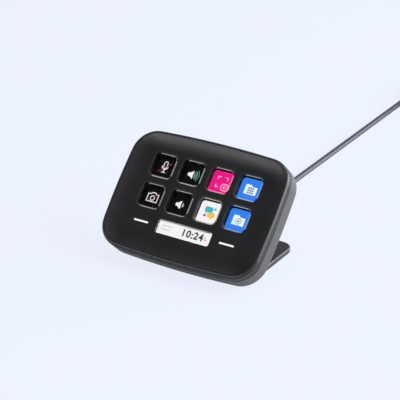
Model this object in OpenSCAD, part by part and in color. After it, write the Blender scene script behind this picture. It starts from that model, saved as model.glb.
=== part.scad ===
// Desk macro keypad: eight clear picture keys over one display, an info bar and two touch
// strips in a dished face, leaning back on a fixed foot, with a USB lead out of the back.
// The face leans back from upright. Pieces of the body are drawn in the face's own frame:
// x to the right, y up the face and z out of it, with z = 0 at the crest of the rim.

/* [Body] */
// Width of the body across its bowed sides
body_w = 107; // [100:0.5:120]
// Height of the body along the face
body_h = 77; // [72:0.5:90]
// Thickness of the body at its sides, from the rim's crest to the back
body_t = 17.5; // [16:0.5:24]
// Radius of the four corners of the outline
corner_r = 15.5; // [12:0.5:22]
// How far the top and bottom edges bow out over the body's width
top_bow = 2.1; // [0.5:0.1:4]
// How far the left and right edges bow out over the body's height
side_bow = 1.6; // [0.5:0.1:3]
// Radius of the rim round the face
rim_r = 1.4; // [0.8:0.1:2]
// Radius of the edge round the back
rear_r = 4.2; // [2:0.1:6]
// Thickness of the shells' walls
wall = 2; // [1.6:0.1:2.4]
// Depth of the seam between the shells, below the rim's crest
seam_depth = 5.3; // [4.8:0.1:7]
// Width of the shadow gap at the seam
seam_gap = 0.55; // [0.2:0.05:0.6]

/* [Face] */
// Depth of the flat of the face below the rim's crest
dish_depth = 2.5; // [1:0.1:3]
// Mean width of the curved margin above and below the flat
dish_margin = 12; // [8:0.5:13]
// How much wider that margin is at the sides
dish_side = 2; // [0:0.5:4]
// How far the flat lies above the middle of the face
dish_rise = 1.4; // [0:0.1:2]
// Thickness of the flat of the face
face_wall = 1.4; // [1:0.1:1.8]

/* [Stance] */
// Lean of the face back from upright, in degrees
face_lean = 43.5; // [38:0.5:48]
// Height of the face's centre above the table
face_lift = 38.6; // [38.6:0.2:46]

/* [Keys] */
// Width and height of one clear key
key_size = 15.4; // [13:0.1:16]
// Corner radius of a key
key_corner = 3; // [1.5:0.1:4]
// Distance from key to key, both ways
key_pitch = 19.4; // [19:0.1:20]
// Height of the key block's centre above the face's centre
key_rise = 7.6; // [6:0.1:9]
// Gap round a key in its window
key_gap = 0.25; // [0.2:0.05:0.4]
// Travel of a key from rest to its stop
key_travel = 0.8; // [0.5:0.1:1.2]

/* [Info bar] */
// Width of the info bar's window
info_w = 36.4; // [30:0.2:40]
// Height of the info bar's window
info_h = 8.4; // [6:0.2:9]
// Gap between the key block and the info bar's window
info_gap = 1.5; // [1.4:0.1:2.6]

/* [Touch strips] */
// Length of a touch strip
strip_l = 9.8; // [6:0.2:12]
// Width of a touch strip
strip_w = 1; // [0.8:0.1:2.4]
// Distance of a strip's middle from the face's centre
strip_x = 29.1; // [28:0.1:32]

/* [Foot] */
// Width of the foot plate
foot_w = 86.8; // [70:0.2:100]
// Thickness of the foot plate
foot_t = 3.3; // [2.8:0.1:4]
// Distance of the foot's back edge behind the face's centre
foot_back = 44.3; // [38:0.1:60]
// Radius of the foot's back corners
foot_corner = 7; // [3:0.5:12]
// Thickness of the rubber pad under the foot
pad_t = 1.1; // [0.8:0.1:1.6]
// How far the pad stands out of the foot
pad_proud = 0.6; // [0.3:0.1:0.8]

/* [Hub] */
// Width of the hub between the body and the foot
hub_w = 54; // [44:1:64]
// Distance of the hub's upright back wall behind the face's centre
hub_back = 28; // [26:0.5:34]
// Height of the hub's top edge above the table
hub_top = 29; // [25:0.5:31]
// Height of the lead's socket above the table
port_z = 15; // [13.5:0.5:18]

/* [Lead] */
// Diameter of the lead
cable_d = 3.6; // [3.2:0.1:4]
// Radius of the coil at the middle of its turns
coil_r = 21.6; // [18:0.4:21.6]

/* [Hidden] */

$fn = 48;
eps = 0.02;
past = 1;                 // how far a cut runs past the face that it opens
touch_gap = 0.3;          // running clearance between a moving and a fixed piece
key_cols = 4;
key_rows = 2;

// Radii and centres of the outline's bowed edges
top_arc = (pow(body_w / 2, 2) + pow(top_bow, 2)) / (2 * top_bow);
side_arc = (pow(body_h / 2, 2) + pow(side_bow, 2)) / (2 * side_bow);
top_arc_y = body_h / 2 - top_arc;
side_arc_x = body_w / 2 - side_arc;

// Levels down through the body, in the face's frame
face_top = -dish_depth;
face_under = face_top - face_wall;
cap_recess = 0.1;
cap_top = face_top - cap_recess;
flange_t = 0.8;
flange_top = face_under - touch_gap;
flange_under = flange_top - flange_t;
mat_t = 0.5;
mat_top = flange_under - key_travel - touch_gap;
board_top = mat_top - mat_t;
board_t = 0.6;
display_top = board_top - board_t;
cap_under = display_top + key_travel + touch_gap;
display_t = 2.2;
tray_top = display_top - display_t;
tray_t = 0.8;
tray_under = tray_top - tray_t;
stud_h = 1.4;
main_top = tray_under - stud_h;
main_t = 1.2;
main_under = main_top - main_t;
rear_inside = -(body_t - wall);
rib_t = 1.6;
flange_w = key_pitch - rib_t - 2 * touch_gap;
flange_corner = key_corner + 0.8;

// Outer sizes of the stacked pieces behind the face
keys_w = key_cols * key_pitch + rib_t;
keys_h = key_rows * key_pitch + rib_t;
info_drop = keys_h / 2 - key_rise + info_gap + info_h / 2;    // of the bar and the strips, from the centre
board_edge = 1;
board_below = 3;          // of the board under the info bar
board_w = keys_w + 2 * board_edge;
board_low = -info_drop - info_h / 2 - board_below;
board_high = key_rise + keys_h / 2 + board_edge;
panel_edge = [1.5, 2.5];  // of the panel past the keys, at its sides and at its top and bottom
display_w = keys_w - rib_t + 2 * panel_edge[0];
display_h = keys_h - rib_t + 2 * panel_edge[1];
panel_gap = 0.2;
tray_wall = 0.8;
tray_w = display_w + 2 * panel_gap + 2 * tray_wall;
tray_h = display_h + 2 * panel_gap + 2 * tray_wall;
main_w = 62;
main_h = 36;
main_drop = 3;            // of the main board's middle below the keys' middle
main_y = key_rise - main_drop;
// Place and width of the ribbons from the display, the info bar and the lead's socket
ribbons = [[-14, 11], [16, 7], [3, 7]];

// Screws and the posts that take them
screw_r = 1.25;
pin_r = 0.4;
pin_x = 28;
pin_drop = 4.8;
screw_head_r = 2.4;
screw_head_h = 1.6;
thread_gap = 0.05;
pass_gap = 0.2;
screw_bore_r = screw_r + thread_gap;
screw_pass_r = screw_r + pass_gap;
post_r = 3.5;
front_post_r = post_r - 0.8;
case_post_z = (face_under + rear_inside) / 2 - 1;
case_screw_deep = 3;      // of the case screws' heads in the back
case_screw_seat = -body_t + case_screw_deep;
// Depth of the bores for the case's and the tray's screws, and how much of it each screw takes
case_bore = 5;
case_bite = 4.5;
ear_bore = 3;
ear_bite = 2.6;
ear_r = 3;
ear_post_r = 2.4;
ear_x = tray_w / 2 + ear_r;
ear_y = 9;

// Where the leaning body stands on the table
sin_lean = sin(face_lean);
cos_lean = cos(face_lean);
foot_top = pad_proud + foot_t;
function depth_y(height, depth) = (height - face_lift) * tan(face_lean) + depth / cos_lean;
foot_gap = 0.5;           // between the foot's front edge and the leaning body
foot_front = depth_y(foot_top, body_t) + foot_gap;
front_reach = (body_h / 2 - rim_r) * sin_lean - rim_r * cos_lean + rim_r;
stance_y = (front_reach - foot_back) / 2;

// The socket and plug of the lead
socket_w = 9.2;
socket_h = 3.4;
socket_l = 7.4;
socket_gap = 0.2;
port_recess = 1;
recess_gap = 0.4;
plug_w = 12;
plug_h = 6.4;
plug_l = 20;
relief_l = 12;
usb_board_t = 1;
plug_face = hub_back - port_recess + touch_gap;
relief_start = plug_face + plug_l;
cable_exit = stance_y + relief_start + relief_l;

// The lead's route: down from the strain relief and along the table to the coil
cable_route = [[0, 54, 15], [0, 60, 14.8], [-0.1, 66, 13.9], [-0.3, 73, 11.5], [-0.6, 80, 8.2],
    [-1, 87, 5], [-1.4, 94, 2.8], [-1.8, 101, 1.9], [-2.2, 109, 1.8], [-2.5, 118, 1.8],
    [-2.6, 128, 1.8], [-2.6, 140, 1.8], [-2.6, 155, 1.8], [-2.6, 170, 1.8], [-2.6, 185, 1.8],
    [-2.6, 200, 1.8], [-2.6, 215, 1.8], [-2.6, 230, 1.8], [-2.6, 245, 1.8], [-2.6, 260, 1.8],
    [-2.6, 275, 1.8], [-2.6, 292, 1.8]];
// The tail's route: off the coil's top turn, back towards the body, to the far plug
tail_route = [[47.8, 304, 9], [47.8, 296, 8], [47.8, 287, 5.6], [47.8, 279, 4.3], [47.8, 270, 4.1]];
coil_turns = 3;
coil_section = coil_turns * cable_d;
coil_x = 22.6;
coil_y = 304;
tie_t = 0.8;
tie_w = 9;
tie_gap = 0.1;

// The plug on the lead's far end
far_w = 15.6;
far_h = 8.2;
far_l = 24;
far_corner = 2;
far_shell_w = 12;
far_shell_h = 4.5;
far_shell_l = 12;
far_shell_t = 0.35;
far_tongue_t = 1.8;

// ---------- shapes that repeat ----------

// The body's outline is eight arcs: four long bows and four corners between them.
// Each arc of an inner outline keeps its centre and gets a smaller radius. An inset of
// [x, y] sets the sides in by x, and the top and bottom by y.

// Centre of the top right corner's arc of radius r: it touches both bows inside
function corner_at(r, inset) =
    let (a = top_arc - inset[1] - r, b = side_arc - inset[0] - r,
         to_side = [side_arc_x, -top_arc_y], d = norm(to_side),
         along = (a * a - b * b + d * d) / (2 * d),
         off = sqrt(a * a - along * along))
    [0, top_arc_y] + (along * to_side + off * [to_side[1], -to_side[0]]) / d;

// Points along an arc, its last one left out
function arc(centre, r, from, to, steps) =
    [for (i = [0:steps - 1]) let (a = from + (to - from) * i / steps)
        centre + r * [cos(a), sin(a)]];

// The outline's first quarter, from the right side to the middle of the top
function quarter(inset) =
    let (r = max(corner_r - (inset[0] + inset[1]) / 2, 0.6), c = corner_at(r, inset),
         low = atan2(c[1], c[0] - side_arc_x), high = atan2(c[1] - top_arc_y, c[0]))
    concat(arc([side_arc_x, 0], side_arc - inset[0], 0, low, 3),
        arc(c, r, low, high, 10),
        arc([0, top_arc_y], top_arc - inset[1], high, 90, 4));

function turned(points, flip_x, flip_y) =
    [for (p = points) [p[0] * flip_x, p[1] * flip_y]];
function backwards(points) = [for (i = [len(points) - 1:-1:0]) points[i]];

// The whole outline, anticlockwise
function outline(inset) =
    let (q = quarter(inset), top = [0, body_h / 2 - inset[1]],
         side = [body_w / 2 - inset[0], 0], rest = [for (i = [1:len(q) - 1]) q[i]])
    concat(q, [top], backwards(turned(rest, -1, 1)), [-side],
        turned(rest, -1, -1), [-top], backwards(turned(rest, 1, -1)));

// A quarter turn with both its ends, as points
function quarter_turn(centre, r, from, steps) =
    [for (i = [0:steps]) let (a = from + 90 * i / steps) centre + r * [cos(a), sin(a)]];

// A rounded rectangle as points, anticlockwise
function round_points(w, h, r, steps) =
    concat(quarter_turn([w / 2 - r, h / 2 - r], r, 0, steps),
        quarter_turn([r - w / 2, h / 2 - r], r, 90, steps),
        quarter_turn([r - w / 2, r - h / 2], r, 180, steps),
        quarter_turn([w / 2 - r, r - h / 2], r, 270, steps));

function raised(points, z) = [for (p = points) [p[0], p[1], z]];

// A closed skin over rings of equally many points, from the lowest ring up
module loft(rings) {
    n = len(rings[0]);
    sides = [for (k = [0:len(rings) - 2]) for (i = [0:n - 1])
        let (a = k * n + i, b = k * n + (i + 1) % n) [a, a + n, b + n, b]];
    polyhedron(points = [for (ring = rings) for (p = ring) p],
        faces = concat([[for (i = [0:n - 1]) i]], sides,
            [[for (i = [n - 1:-1:0]) (len(rings) - 1) * n + i]]));
}

// The body's outline as a loft through rings of [inset, level], lowest first; a ring may
// also say how much more its sides are set in, and how far it is moved up the face
function extra(ring, k) = is_undef(ring[k]) ? 0 : ring[k];
module body_loft(rings) {
    loft([for (g = rings)
        [for (p = outline([g[0] + extra(g, 2), g[0]])) [p[0], p[1] + extra(g, 3), g[1]]]]);
}

// A slab of the body's outline, set in by inset, between two levels
module outline_slab(inset, from, to) {
    translate([0, 0, from]) linear_extrude(to - from) polygon(outline([inset, inset]));
}

// A rounded rectangle made of true arcs
module round_rect(w, h, r) {
    square([w - 2 * r, h], center = true);
    square([w, h - 2 * r], center = true);
    for (x = [-1, 1], y = [-1, 1]) translate([x * (w / 2 - r), y * (h / 2 - r)]) circle(r);
}

module round_slab(w, h, r, from, to) {
    translate([0, 0, from]) linear_extrude(to - from) round_rect(w, h, r);
}

// A tube of even thickness swept along a list of points
function unit(v) = v / norm(v);
function heading(path, i) =
    unit(path[min(i + 1, len(path) - 1)] - path[max(i - 1, 0)]);
function ring_at(path, i, r, sides) =
    let (ahead = heading(path, i), across = unit(cross([0, 0, 1], ahead)),
         up = cross(ahead, across))
    [for (k = [0:sides - 1]) let (a = 360 * (k + 0.5) / sides)
        path[i] + r * (cos(a) * across + sin(a) * up)];
module tube(path, r, sides) {
    loft([for (i = [0:len(path) - 1]) ring_at(path, i, r, sides)]);
}

// ---------- frames ----------

// Everything stands with the middle of its base at the origin
module stance() {
    translate([0, stance_y, 0]) children();
}

// The face's frame, leaning back above the table
module on_face() {
    stance() translate([0, 0, face_lift]) rotate([90 - face_lean, 0, 0]) children();
}

function key_place(i) = [(i % key_cols - (key_cols - 1) / 2) * key_pitch,
    key_rise + ((key_rows - 1) / 2 - floor(i / key_cols)) * key_pitch];

module at_keys() {
    for (i = [0:key_cols * key_rows - 1]) translate(key_place(i)) children();
}

module at_corners(x, y) {
    for (sx = [-1, 1], sy = [-1, 1]) translate([sx * x, sy * y]) children();
}

// The four case screws stand in the corners, their posts just merged with the wall
case_post_inset = wall + post_r - 0.5;
case_post = corner_at(corner_r, [0, 0])
    + (corner_r - case_post_inset) * [cos(20), sin(20)];
module at_case_posts() {
    at_corners(case_post[0], case_post[1]) children();
}

module at_ears() {
    translate([0, key_rise]) at_corners(ear_x, ear_y) children();
}

// The main board stands on four studs, set in from its edges
stud_inset = 3;
stud_r = 2;
module at_studs() {
    translate([0, main_y]) at_corners(main_w / 2 - stud_inset, main_h / 2 - stud_inset) children();
}

// ---------- shells ----------

// Level of the dished face at a share s of its margin: 0 at the rim, 1 at the flat
function dish_level(s) = -dish_depth * (1 - pow(1 - s, 2));
function dish_ring(s, below) =
    [rim_r + dish_margin * s, dish_level(s) - below, dish_side * s, dish_rise * s];

dish_steps = 6;
rim_steps = 4;
rear_steps = 5;
rim_rings = [for (i = [0:rim_steps]) let (a = 90 - 90 * i / rim_steps)
    [rim_r * (1 - sin(a)), -rim_r * (1 - cos(a))]];
rear_rings = [for (i = [0:rear_steps]) let (a = 90 * i / rear_steps)
    [rear_r * (1 - sin(a)), -body_t + rear_r * (1 - cos(a))]];

// Outside of the front shell: side, rim, curved margin and flat, as one skin
module front_skin() {
    body_loft(concat([[0, -seam_depth + seam_gap / 2]], rim_rings,
        [for (i = [1:dish_steps]) dish_ring(i / dish_steps, 0)]));
}

// Hollow behind the face: it follows the dish, so that the moulding has an even wall
module front_hollow() {
    body_loft([[wall, -seam_depth - 4], [wall, -rim_r - 1],
        dish_ring(0.5, face_wall), dish_ring(1, face_wall)]);
}

lip_w = 0.5;
lip_h = 0.25;
lip_start = 0.1;
lip_steps = 6;
// Cuts the sloped lip of a key's window, from just inside the window's wall outwards
module key_lip() {
    function ring(out, z) = let (size = key_size + 2 * (key_gap + out))
        raised(round_points(size, size, key_corner + key_gap + out, lip_steps), z);
    loft([ring(-lip_start, face_top - lip_h * (1 + lip_start / lip_w)), ring(lip_w, face_top),
        ring(lip_w, face_top + past)]);
}

tongue_gap = [0.1, 0.2];  // of the tongue in the rear shell, at its side and at its end
tongue_t = wall / 2 - tongue_gap[0];
tongue_h = 1.8;
// Corners of the info bar and of a touch strip, and the gap round each in its opening
info_corner = 1.2;
info_side_gap = 0.1;
strip_corner = strip_w / 2 - 0.1;
strip_side_gap = 0.05;
module front_shell() {
    color("#2c2b2d") on_face() difference() {
        union() {
            difference() {
                union() {
                    front_skin();
                    // tongue that slides into the rear shell behind the seam
                    outline_slab(wall - tongue_t, -seam_depth - tongue_h, -seam_depth + past);
                }
                front_hollow();
            }
            // egg-crate ribs that part the keys and clamp the mat
            translate([0, key_rise, 0]) round_slab(keys_w, keys_h, 1, mat_top, face_under + eps);
            at_case_posts() translate([0, 0, case_post_z])
                cylinder(r = front_post_r, h = dish_level(0.3) - face_wall / 2 - case_post_z);
            at_ears() translate([0, 0, tray_top])
                cylinder(r = ear_post_r, h = dish_level(0.6) - face_wall / 2 - tray_top);
        }
        at_keys() {
            round_slab(key_size + 2 * key_gap, key_size + 2 * key_gap, key_corner + key_gap,
                mat_top - past, face_top + past);
            key_lip();
            round_slab(flange_w + 2 * touch_gap, flange_w + 2 * touch_gap, flange_corner + 0.1,
                mat_top - past, face_under);
        }
        translate([0, -info_drop, 0])
            round_slab(info_w + 2 * info_side_gap, info_h + 2 * info_side_gap,
                info_corner + info_side_gap, face_under - past, face_top + past);
        for (x = [-strip_x, strip_x]) translate([x, -info_drop, 0])
            round_slab(strip_l + 2 * strip_side_gap, strip_w + 2 * strip_side_gap, strip_corner,
                face_under - past, face_top + past);
        translate([-pin_x, -info_drop - pin_drop, face_under - past])
            cylinder(r = pin_r, h = face_wall + 2 * past);
        at_case_posts() translate([0, 0, case_post_z - past])
            cylinder(r = screw_bore_r, h = case_bore + past);
        at_ears() translate([0, 0, tray_top - past]) cylinder(r = screw_bore_r, h = ear_bore + past);
    }
}

hub_round = 4;
hub_corner = 6;
hub_steps = 5;
// The hub's plan at a height, its sides and back set in by inset: two rounded corners
// behind, and a front that lies as deep in the leaning body as into says
function hub_ring(inset, height, into) =
    let (x = hub_w / 2 - inset, back = hub_back - inset, r = hub_corner - inset,
         front = depth_y(height, into))
    raised(concat(quarter_turn([x - r, back - r], r, 0, hub_steps),
        quarter_turn([r - x, back - r], r, 90, hub_steps), [[-x, front], [x, front]]), height);

// The hub fills the corner between the body and the foot, and its top edges are rounded
module hub_block(inset, into) {
    r = hub_round - inset;
    loft(concat([hub_ring(inset, foot_top + inset, into)],
        [for (i = [0:hub_steps]) let (a = 90 * i / hub_steps)
            hub_ring(inset + r * (1 - cos(a)), hub_top - inset - r * (1 - sin(a)), into)]));
}

module port_shape(w, h, from, to) {
    translate([0, to, port_z]) rotate([90, 0, 0]) linear_extrude(to - from)
        round_rect(w, h, h / 2 - 0.01);
}

hub_sink = 1;             // of the hub in the leaning body
hub_post_inset = 8;       // of the posts' axes from the hub's sides
hub_post_x = hub_w / 2 - hub_post_inset;
hub_post_front = 4;
hub_post_back = hub_back - 7;
hub_post_r = 3;
hub_post_h = 8;
module at_hub_posts() {
    for (x = [-hub_post_x, hub_post_x], y = [hub_post_front, hub_post_back])
        translate([x, y, 0]) children();
}

usb_board_w = 20;
usb_board_l = 15;
usb_board_top = port_z - socket_h / 2;
usb_board_under = usb_board_top - usb_board_t;
usb_post_x = 7;
usb_post_y = hub_back - 9;
usb_post_r = 2;

module rear_shell() {
    color("#2a292b") difference() {
        union() {
            difference() {
                union() {
                    on_face() body_loft(concat(rear_rings, [[0, -seam_depth - seam_gap / 2]]));
                    stance() hub_block(0, body_t - hub_sink);
                }
                on_face() outline_slab(wall, rear_inside, 0);
                on_face() outline_slab(wall / 2, -seam_depth - tongue_h - tongue_gap[1], 0);
                stance() hub_block(wall, body_t - wall - hub_sink);
            }
            on_face() at_case_posts() translate([0, 0, rear_inside - eps])
                cylinder(r = post_r, h = case_post_z - rear_inside + eps);
            stance() at_hub_posts() translate([0, 0, foot_top])
                cylinder(r = hub_post_r, h = hub_post_h);
            stance() for (x = [-usb_post_x, usb_post_x])
                translate([x, usb_post_y, foot_top + wall - eps])
                    cylinder(r = usb_post_r, h = usb_board_under - foot_top - wall + eps);
        }
        on_face() at_case_posts() {
            translate([0, 0, -body_t - past]) cylinder(r = screw_pass_r, h = body_t);
            translate([0, 0, -body_t - past])
                cylinder(r = screw_head_r + touch_gap, h = case_screw_deep + past);
        }
        stance() at_hub_posts() translate([0, 0, foot_top - past])
            cylinder(r = screw_bore_r, h = hub_post_h);
        stance() port_shape(socket_w + 2 * socket_gap, socket_h + 2 * socket_gap,
            hub_back - wall - past, hub_back + past);
        stance() port_shape(plug_w + 2 * recess_gap, plug_h + 2 * recess_gap,
            hub_back - port_recess, hub_back + past);
    }
}

// ---------- keys ----------

cap_bevel_w = 0.8;
cap_bevel_h = 0.34;
cap_round = 0.15;
cap_hollow = 0.3;
cap_hollow_steps = 3;
cap_middle = 4;           // width of the flat in the middle of the top
cap_corner_least = 0.8;
cap_steps = 4;
module key_cap(i) {
    // each ring is [inset, level]: a small round, then a shallow bevel up to the top
    low = cap_top - cap_bevel_h;
    edge = [[0, low - cap_round], [cap_round / 4, low - cap_round / 4],
        [cap_round, low + cap_round * cap_bevel_h / cap_bevel_w], [cap_bevel_w, cap_top]];
    // the top is hollowed a little for the fingertip
    hollow = [for (k = [1:cap_hollow_steps]) let (s = k / cap_hollow_steps)
        [cap_bevel_w + (key_size / 2 - cap_bevel_w - cap_middle / 2) * s,
         cap_top - cap_hollow * (1 - pow(1 - s, 2))]];
    rings = concat([[0, cap_under]], edge, hollow);
    color("#15161a") on_face() translate(key_place(i)) {
        loft([for (g = rings) raised(round_points(key_size - 2 * g[0], key_size - 2 * g[0],
            max(key_corner - g[0], cap_corner_least), cap_steps), g[1])]);
        round_slab(flange_w, flange_w, flange_corner, flange_under, flange_top);
    }
}

sheet_gap = 0.4;          // round a key in the windows of the mat and of the board
sheet_window = key_size + 2 * sheet_gap;
sheet_corner = key_corner + 0.2;
collar_w = 0.25;
collar_h = 0.2;
flange_play = 0.2;        // round a flange over its collar
// Silicone sheet under the key flanges, with a raised collar round each window
module key_mat() {
    collar = sheet_window + 2 * collar_w;
    sunk = flange_w + 2 * flange_play;
    color("#8d9096") on_face() difference() {
        translate([0, key_rise, 0]) round_slab(keys_w, keys_h, 1, board_top, mat_top);
        at_keys() round_slab(sheet_window, sheet_window, sheet_corner, board_top - past, mat_top + past);
        at_keys() difference() {
            round_slab(sunk, sunk, key_corner + 1, mat_top - collar_h, mat_top + past);
            round_slab(collar, collar, sheet_corner + 0.2, mat_top - past, mat_top + 2 * past);
        }
    }
}

// A pair of lamps stands under each touch strip
lamp = [2, 1.2, 0.7];
lamp_x = 2.5;
module key_board() {
    color("#1f5c3a") on_face() difference() {
        union() {
            translate([0, (board_low + board_high) / 2, 0])
                round_slab(board_w, board_high - board_low, 2, display_top, board_top);
            for (x = [-strip_x, strip_x], s = [-lamp_x, lamp_x])
                translate([x + s, -info_drop, board_top])
                    linear_extrude(lamp[2]) square([lamp[0], lamp[1]], center = true);
        }
        at_keys() round_slab(sheet_window, sheet_window, sheet_corner, display_top - past,
            board_top + past);
    }
}

glass_t = 0.7;
glass_inset = 0.6;
// One picture panel behind all the keys: glass, back light and steel rim
module key_display() {
    color("#101114") on_face() translate([0, key_rise, 0]) {
        round_slab(display_w, display_h, 0.6, tray_top, display_top - glass_t);
        round_slab(display_w - 2 * glass_inset, display_h - 2 * glass_inset, 0.4, tray_top,
            display_top);
    }
}

// Pressed steel tray that holds the panel, with ears for its screws and studs behind
module display_tray() {
    color("#a9adb3") on_face() difference() {
        union() {
            translate([0, key_rise, 0]) difference() {
                round_slab(tray_w, tray_h, 1.4, tray_under, display_top);
                round_slab(tray_w - 2 * tray_wall, tray_h - 2 * tray_wall, 0.8, tray_top,
                    display_top + past);
            }
            at_ears() translate([0, 0, tray_under]) cylinder(r = ear_r, h = tray_t);
            translate([0, key_rise, 0]) at_corners(ear_x - ear_r / 2, ear_y)
                round_slab(ear_r + 1, 2 * ear_r, 0.2, tray_under, tray_top);
            at_studs() translate([0, 0, main_top]) cylinder(r = stud_r, h = stud_h + eps);
        }
        at_ears() translate([0, 0, tray_under - past]) cylinder(r = screw_pass_r, h = tray_t + 3.2);
        at_studs() translate([0, 0, main_top - past])
            cylinder(r = screw_bore_r, h = past + stud_h + tray_t / 2);
        // slot that lets the panel's ribbon out of the lower wall
        translate([ribbons[0][0], key_rise - tray_h / 2, 0])
            round_slab(ribbons[0][1] + 2, 6, 0.5, tray_top, display_top + past);
    }
}

// ---------- info bar and touch strips ----------

info_recess = 0.05;
info_flange = [2.4, 2.2]; // of the window past its clear part, left and right, and top and bottom
info_flange_t = 0.7;
module info_window() {
    color("#d7dade") on_face() translate([0, -info_drop, 0]) {
        round_slab(info_w, info_h, info_corner, face_under - eps, face_top - info_recess);
        round_slab(info_w + info_flange[0], info_h + info_flange[1], 1, face_under - info_flange_t,
            face_under);
    }
}

module info_display() {
    color("#e9eaec") on_face() translate([0, -info_drop, 0]) {
        round_slab(info_w + 1, info_h + 1, 0.6, board_top, face_under - info_flange_t);
        round_slab(info_w + 2.4, info_h + 2, 0.6, board_top, board_top + 1);
    }
}

strip_recess = 0.03;
guide_flange = 1;         // of the light guide behind the face, all round
guide_flange_t = 0.9;
// Clear bar that carries the lamps' light up to its slot in the face
module touch_guide(side) {
    guide_under = face_under - guide_flange_t;
    color("#f4f6f8") on_face() translate([side * strip_x, -info_drop, 0]) {
        round_slab(strip_l, strip_w, strip_corner, face_under - past, face_top - strip_recess);
        round_slab(strip_l + 2 * guide_flange, strip_w + 2 * guide_flange, 0.8, guide_under,
            face_under);
        round_slab(strip_l - 2, strip_w - 0.4, strip_w / 2 - 0.25, board_top + lamp[2] + 0.2,
            guide_under);
    }
}

foil = [2.2, 3.1];        // of the foil past the strip, at its ends and at its sides
foil_t = 0.2;
// Copper sensing foil stuck behind the face, round the light guide
module touch_pad(side) {
    hole = 2 * guide_flange + 0.2;
    color("#b87a3d") on_face() translate([side * strip_x, -info_drop, 0]) difference() {
        round_slab(strip_l + 2 * foil[0], strip_w + 2 * foil[1], 1, face_under - foil_t, face_under);
        round_slab(strip_l + hole, strip_w + hole, 0.9, face_under - past, face_under + past);
    }
}

// ---------- electronics behind the tray ----------

// Place, width, height, corner radius and thickness of the chips: the processor, then its memory
chips = [[0, 0, 11, 11, 0.3, 1.1], [14, 4, 8, 6, 0.2, 0.9], [-14, 5, 7, 7, 0.2, 0.9]];
// Sockets for the three ribbons stand along the lower edge
ribbon_socket = [1, 3.2, 1.2];
module main_board() {
    color("#1d4f34") on_face() difference() {
        translate([0, main_y, 0]) {
            round_slab(main_w, main_h, 2, main_under, main_top);
            for (chip = chips) translate([chip[0], chip[1], 0])
                round_slab(chip[2], chip[3], chip[4], main_under - chip[5], main_under);
            for (ribbon = ribbons) translate([ribbon[0], -main_h / 2 + 3, 0])
                round_slab(ribbon[1] + ribbon_socket[0], ribbon_socket[1], 0.2,
                    main_under - ribbon_socket[2], main_under);
        }
        at_studs() translate([0, 0, main_under - past])
            cylinder(r = screw_pass_r, h = main_t + 2 * past);
    }
}

// A flat ribbon that folds from one level round to another, seen from the side
ribbon_t = 0.25;
ribbon_end = main_y - main_h / 2 + 1.2;
module ribbon_fold(ribbon, edge, from_y, top) {
    low = main_under - ribbon_t;
    r = (top - low) / 2;
    translate([ribbon[0] - ribbon[1] / 2, 0, 0]) rotate([90, 0, 90]) linear_extrude(ribbon[1]) {
        translate([edge, top - ribbon_t]) square([from_y - edge, ribbon_t]);
        translate([edge, low]) square([ribbon_end - edge, ribbon_t]);
        translate([edge, low + r]) difference() {
            circle(r);
            circle(r - ribbon_t);
            translate([0, -r - 1]) square(2 * r + 2);
        }
    }
}

module display_ribbon() {
    color("#c98a3a") on_face() ribbon_fold(ribbons[0], key_rise - tray_h / 2 - 1,
        key_rise - display_h / 2, display_top - 0.9);
}

module info_ribbon() {
    color("#c98a3a") on_face() ribbon_fold(ribbons[1], board_low - 0.8, board_low + 3, display_top);
}

usb_board_end = hub_back - wall - touch_gap;
module usb_board() {
    color("#1d4f34") stance() translate([0, usb_board_end - usb_board_l / 2, 0])
        round_slab(usb_board_w, usb_board_l, 1, usb_board_under, usb_board_top);
}

socket_wall = 0.3;
// Width and thickness of the contacts' tongue in the socket, and how far it stays back
socket_tongue = [6.4, 0.6, 1.2];
module usb_socket() {
    mouth = hub_back - port_recess - 0.1;
    hollow = [socket_w - 2 * socket_wall, socket_h - 2 * socket_wall];
    color("#b9bcc1") stance() difference() {
        port_shape(socket_w, socket_h, mouth - socket_l, mouth);
        difference() {
            port_shape(hollow[0], hollow[1], mouth - socket_l + 1, mouth + past);
            translate([0, mouth - (socket_l + socket_tongue[2]) / 2, port_z])
                cube([socket_tongue[0], socket_l - socket_tongue[2], socket_tongue[1]], center = true);
        }
    }
}

// Ribbon from the main board's lower edge: it bends round onto the socket's board
function lean_point(y, z) = [y * sin_lean - z * cos_lean, face_lift + y * cos_lean + z * sin_lean];
module usb_ribbon() {
    t = ribbon_t;
    start = lean_point(main_y - main_h / 2, main_under - t / 2);
    r = (start[1] - usb_board_top - t / 2) / (1 + sin_lean);
    centre = start + r * [cos_lean, -sin_lean];
    end = usb_board_end - usb_board_l + 3.5;
    low = centre[1] - r;
    color("#c98a3a") stance() translate([ribbons[2][0] - ribbons[2][1] / 2, 0, 0])
        rotate([90, 0, 90]) linear_extrude(ribbons[2][1]) {
            polygon(concat(arc(centre, r + t / 2, 180 - face_lean, 270, 9),
                [[centre[0], low - t / 2], [end, low - t / 2], [end, low + t / 2],
                    [centre[0], low + t / 2]],
                arc(centre, r - t / 2, 270, 180 - face_lean, 9),
                [centre + (r - t / 2) * [-cos_lean, sin_lean]]));
            translate(start) rotate(90 - face_lean) translate([-eps, -t / 2]) square([1.2, t]);
        }
}

// ---------- screws ----------

hexagon_r = 1;
hexagon_deep = 0.9;
// A pan-head screw with a hexagon socket, its shank down from the origin
module screw(length) {
    translate([0, 0, -length]) cylinder(r = screw_r, h = length);
    difference() {
        cylinder(r = screw_head_r, h = screw_head_h);
        translate([0, 0, screw_head_h - hexagon_deep])
            cylinder(r = hexagon_r, h = hexagon_deep + past, $fn = 6);
    }
}

module case_screws() {
    color("#3b3c40") on_face() at_case_posts() translate([0, 0, case_screw_seat])
        rotate([180, 0, 0]) screw(case_post_z - case_screw_seat + case_bite);
}

module tray_screws() {
    color("#9a9da3") on_face() at_ears() translate([0, 0, tray_under]) rotate([180, 0, 0])
        screw(tray_t + ear_bite);
}

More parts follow.
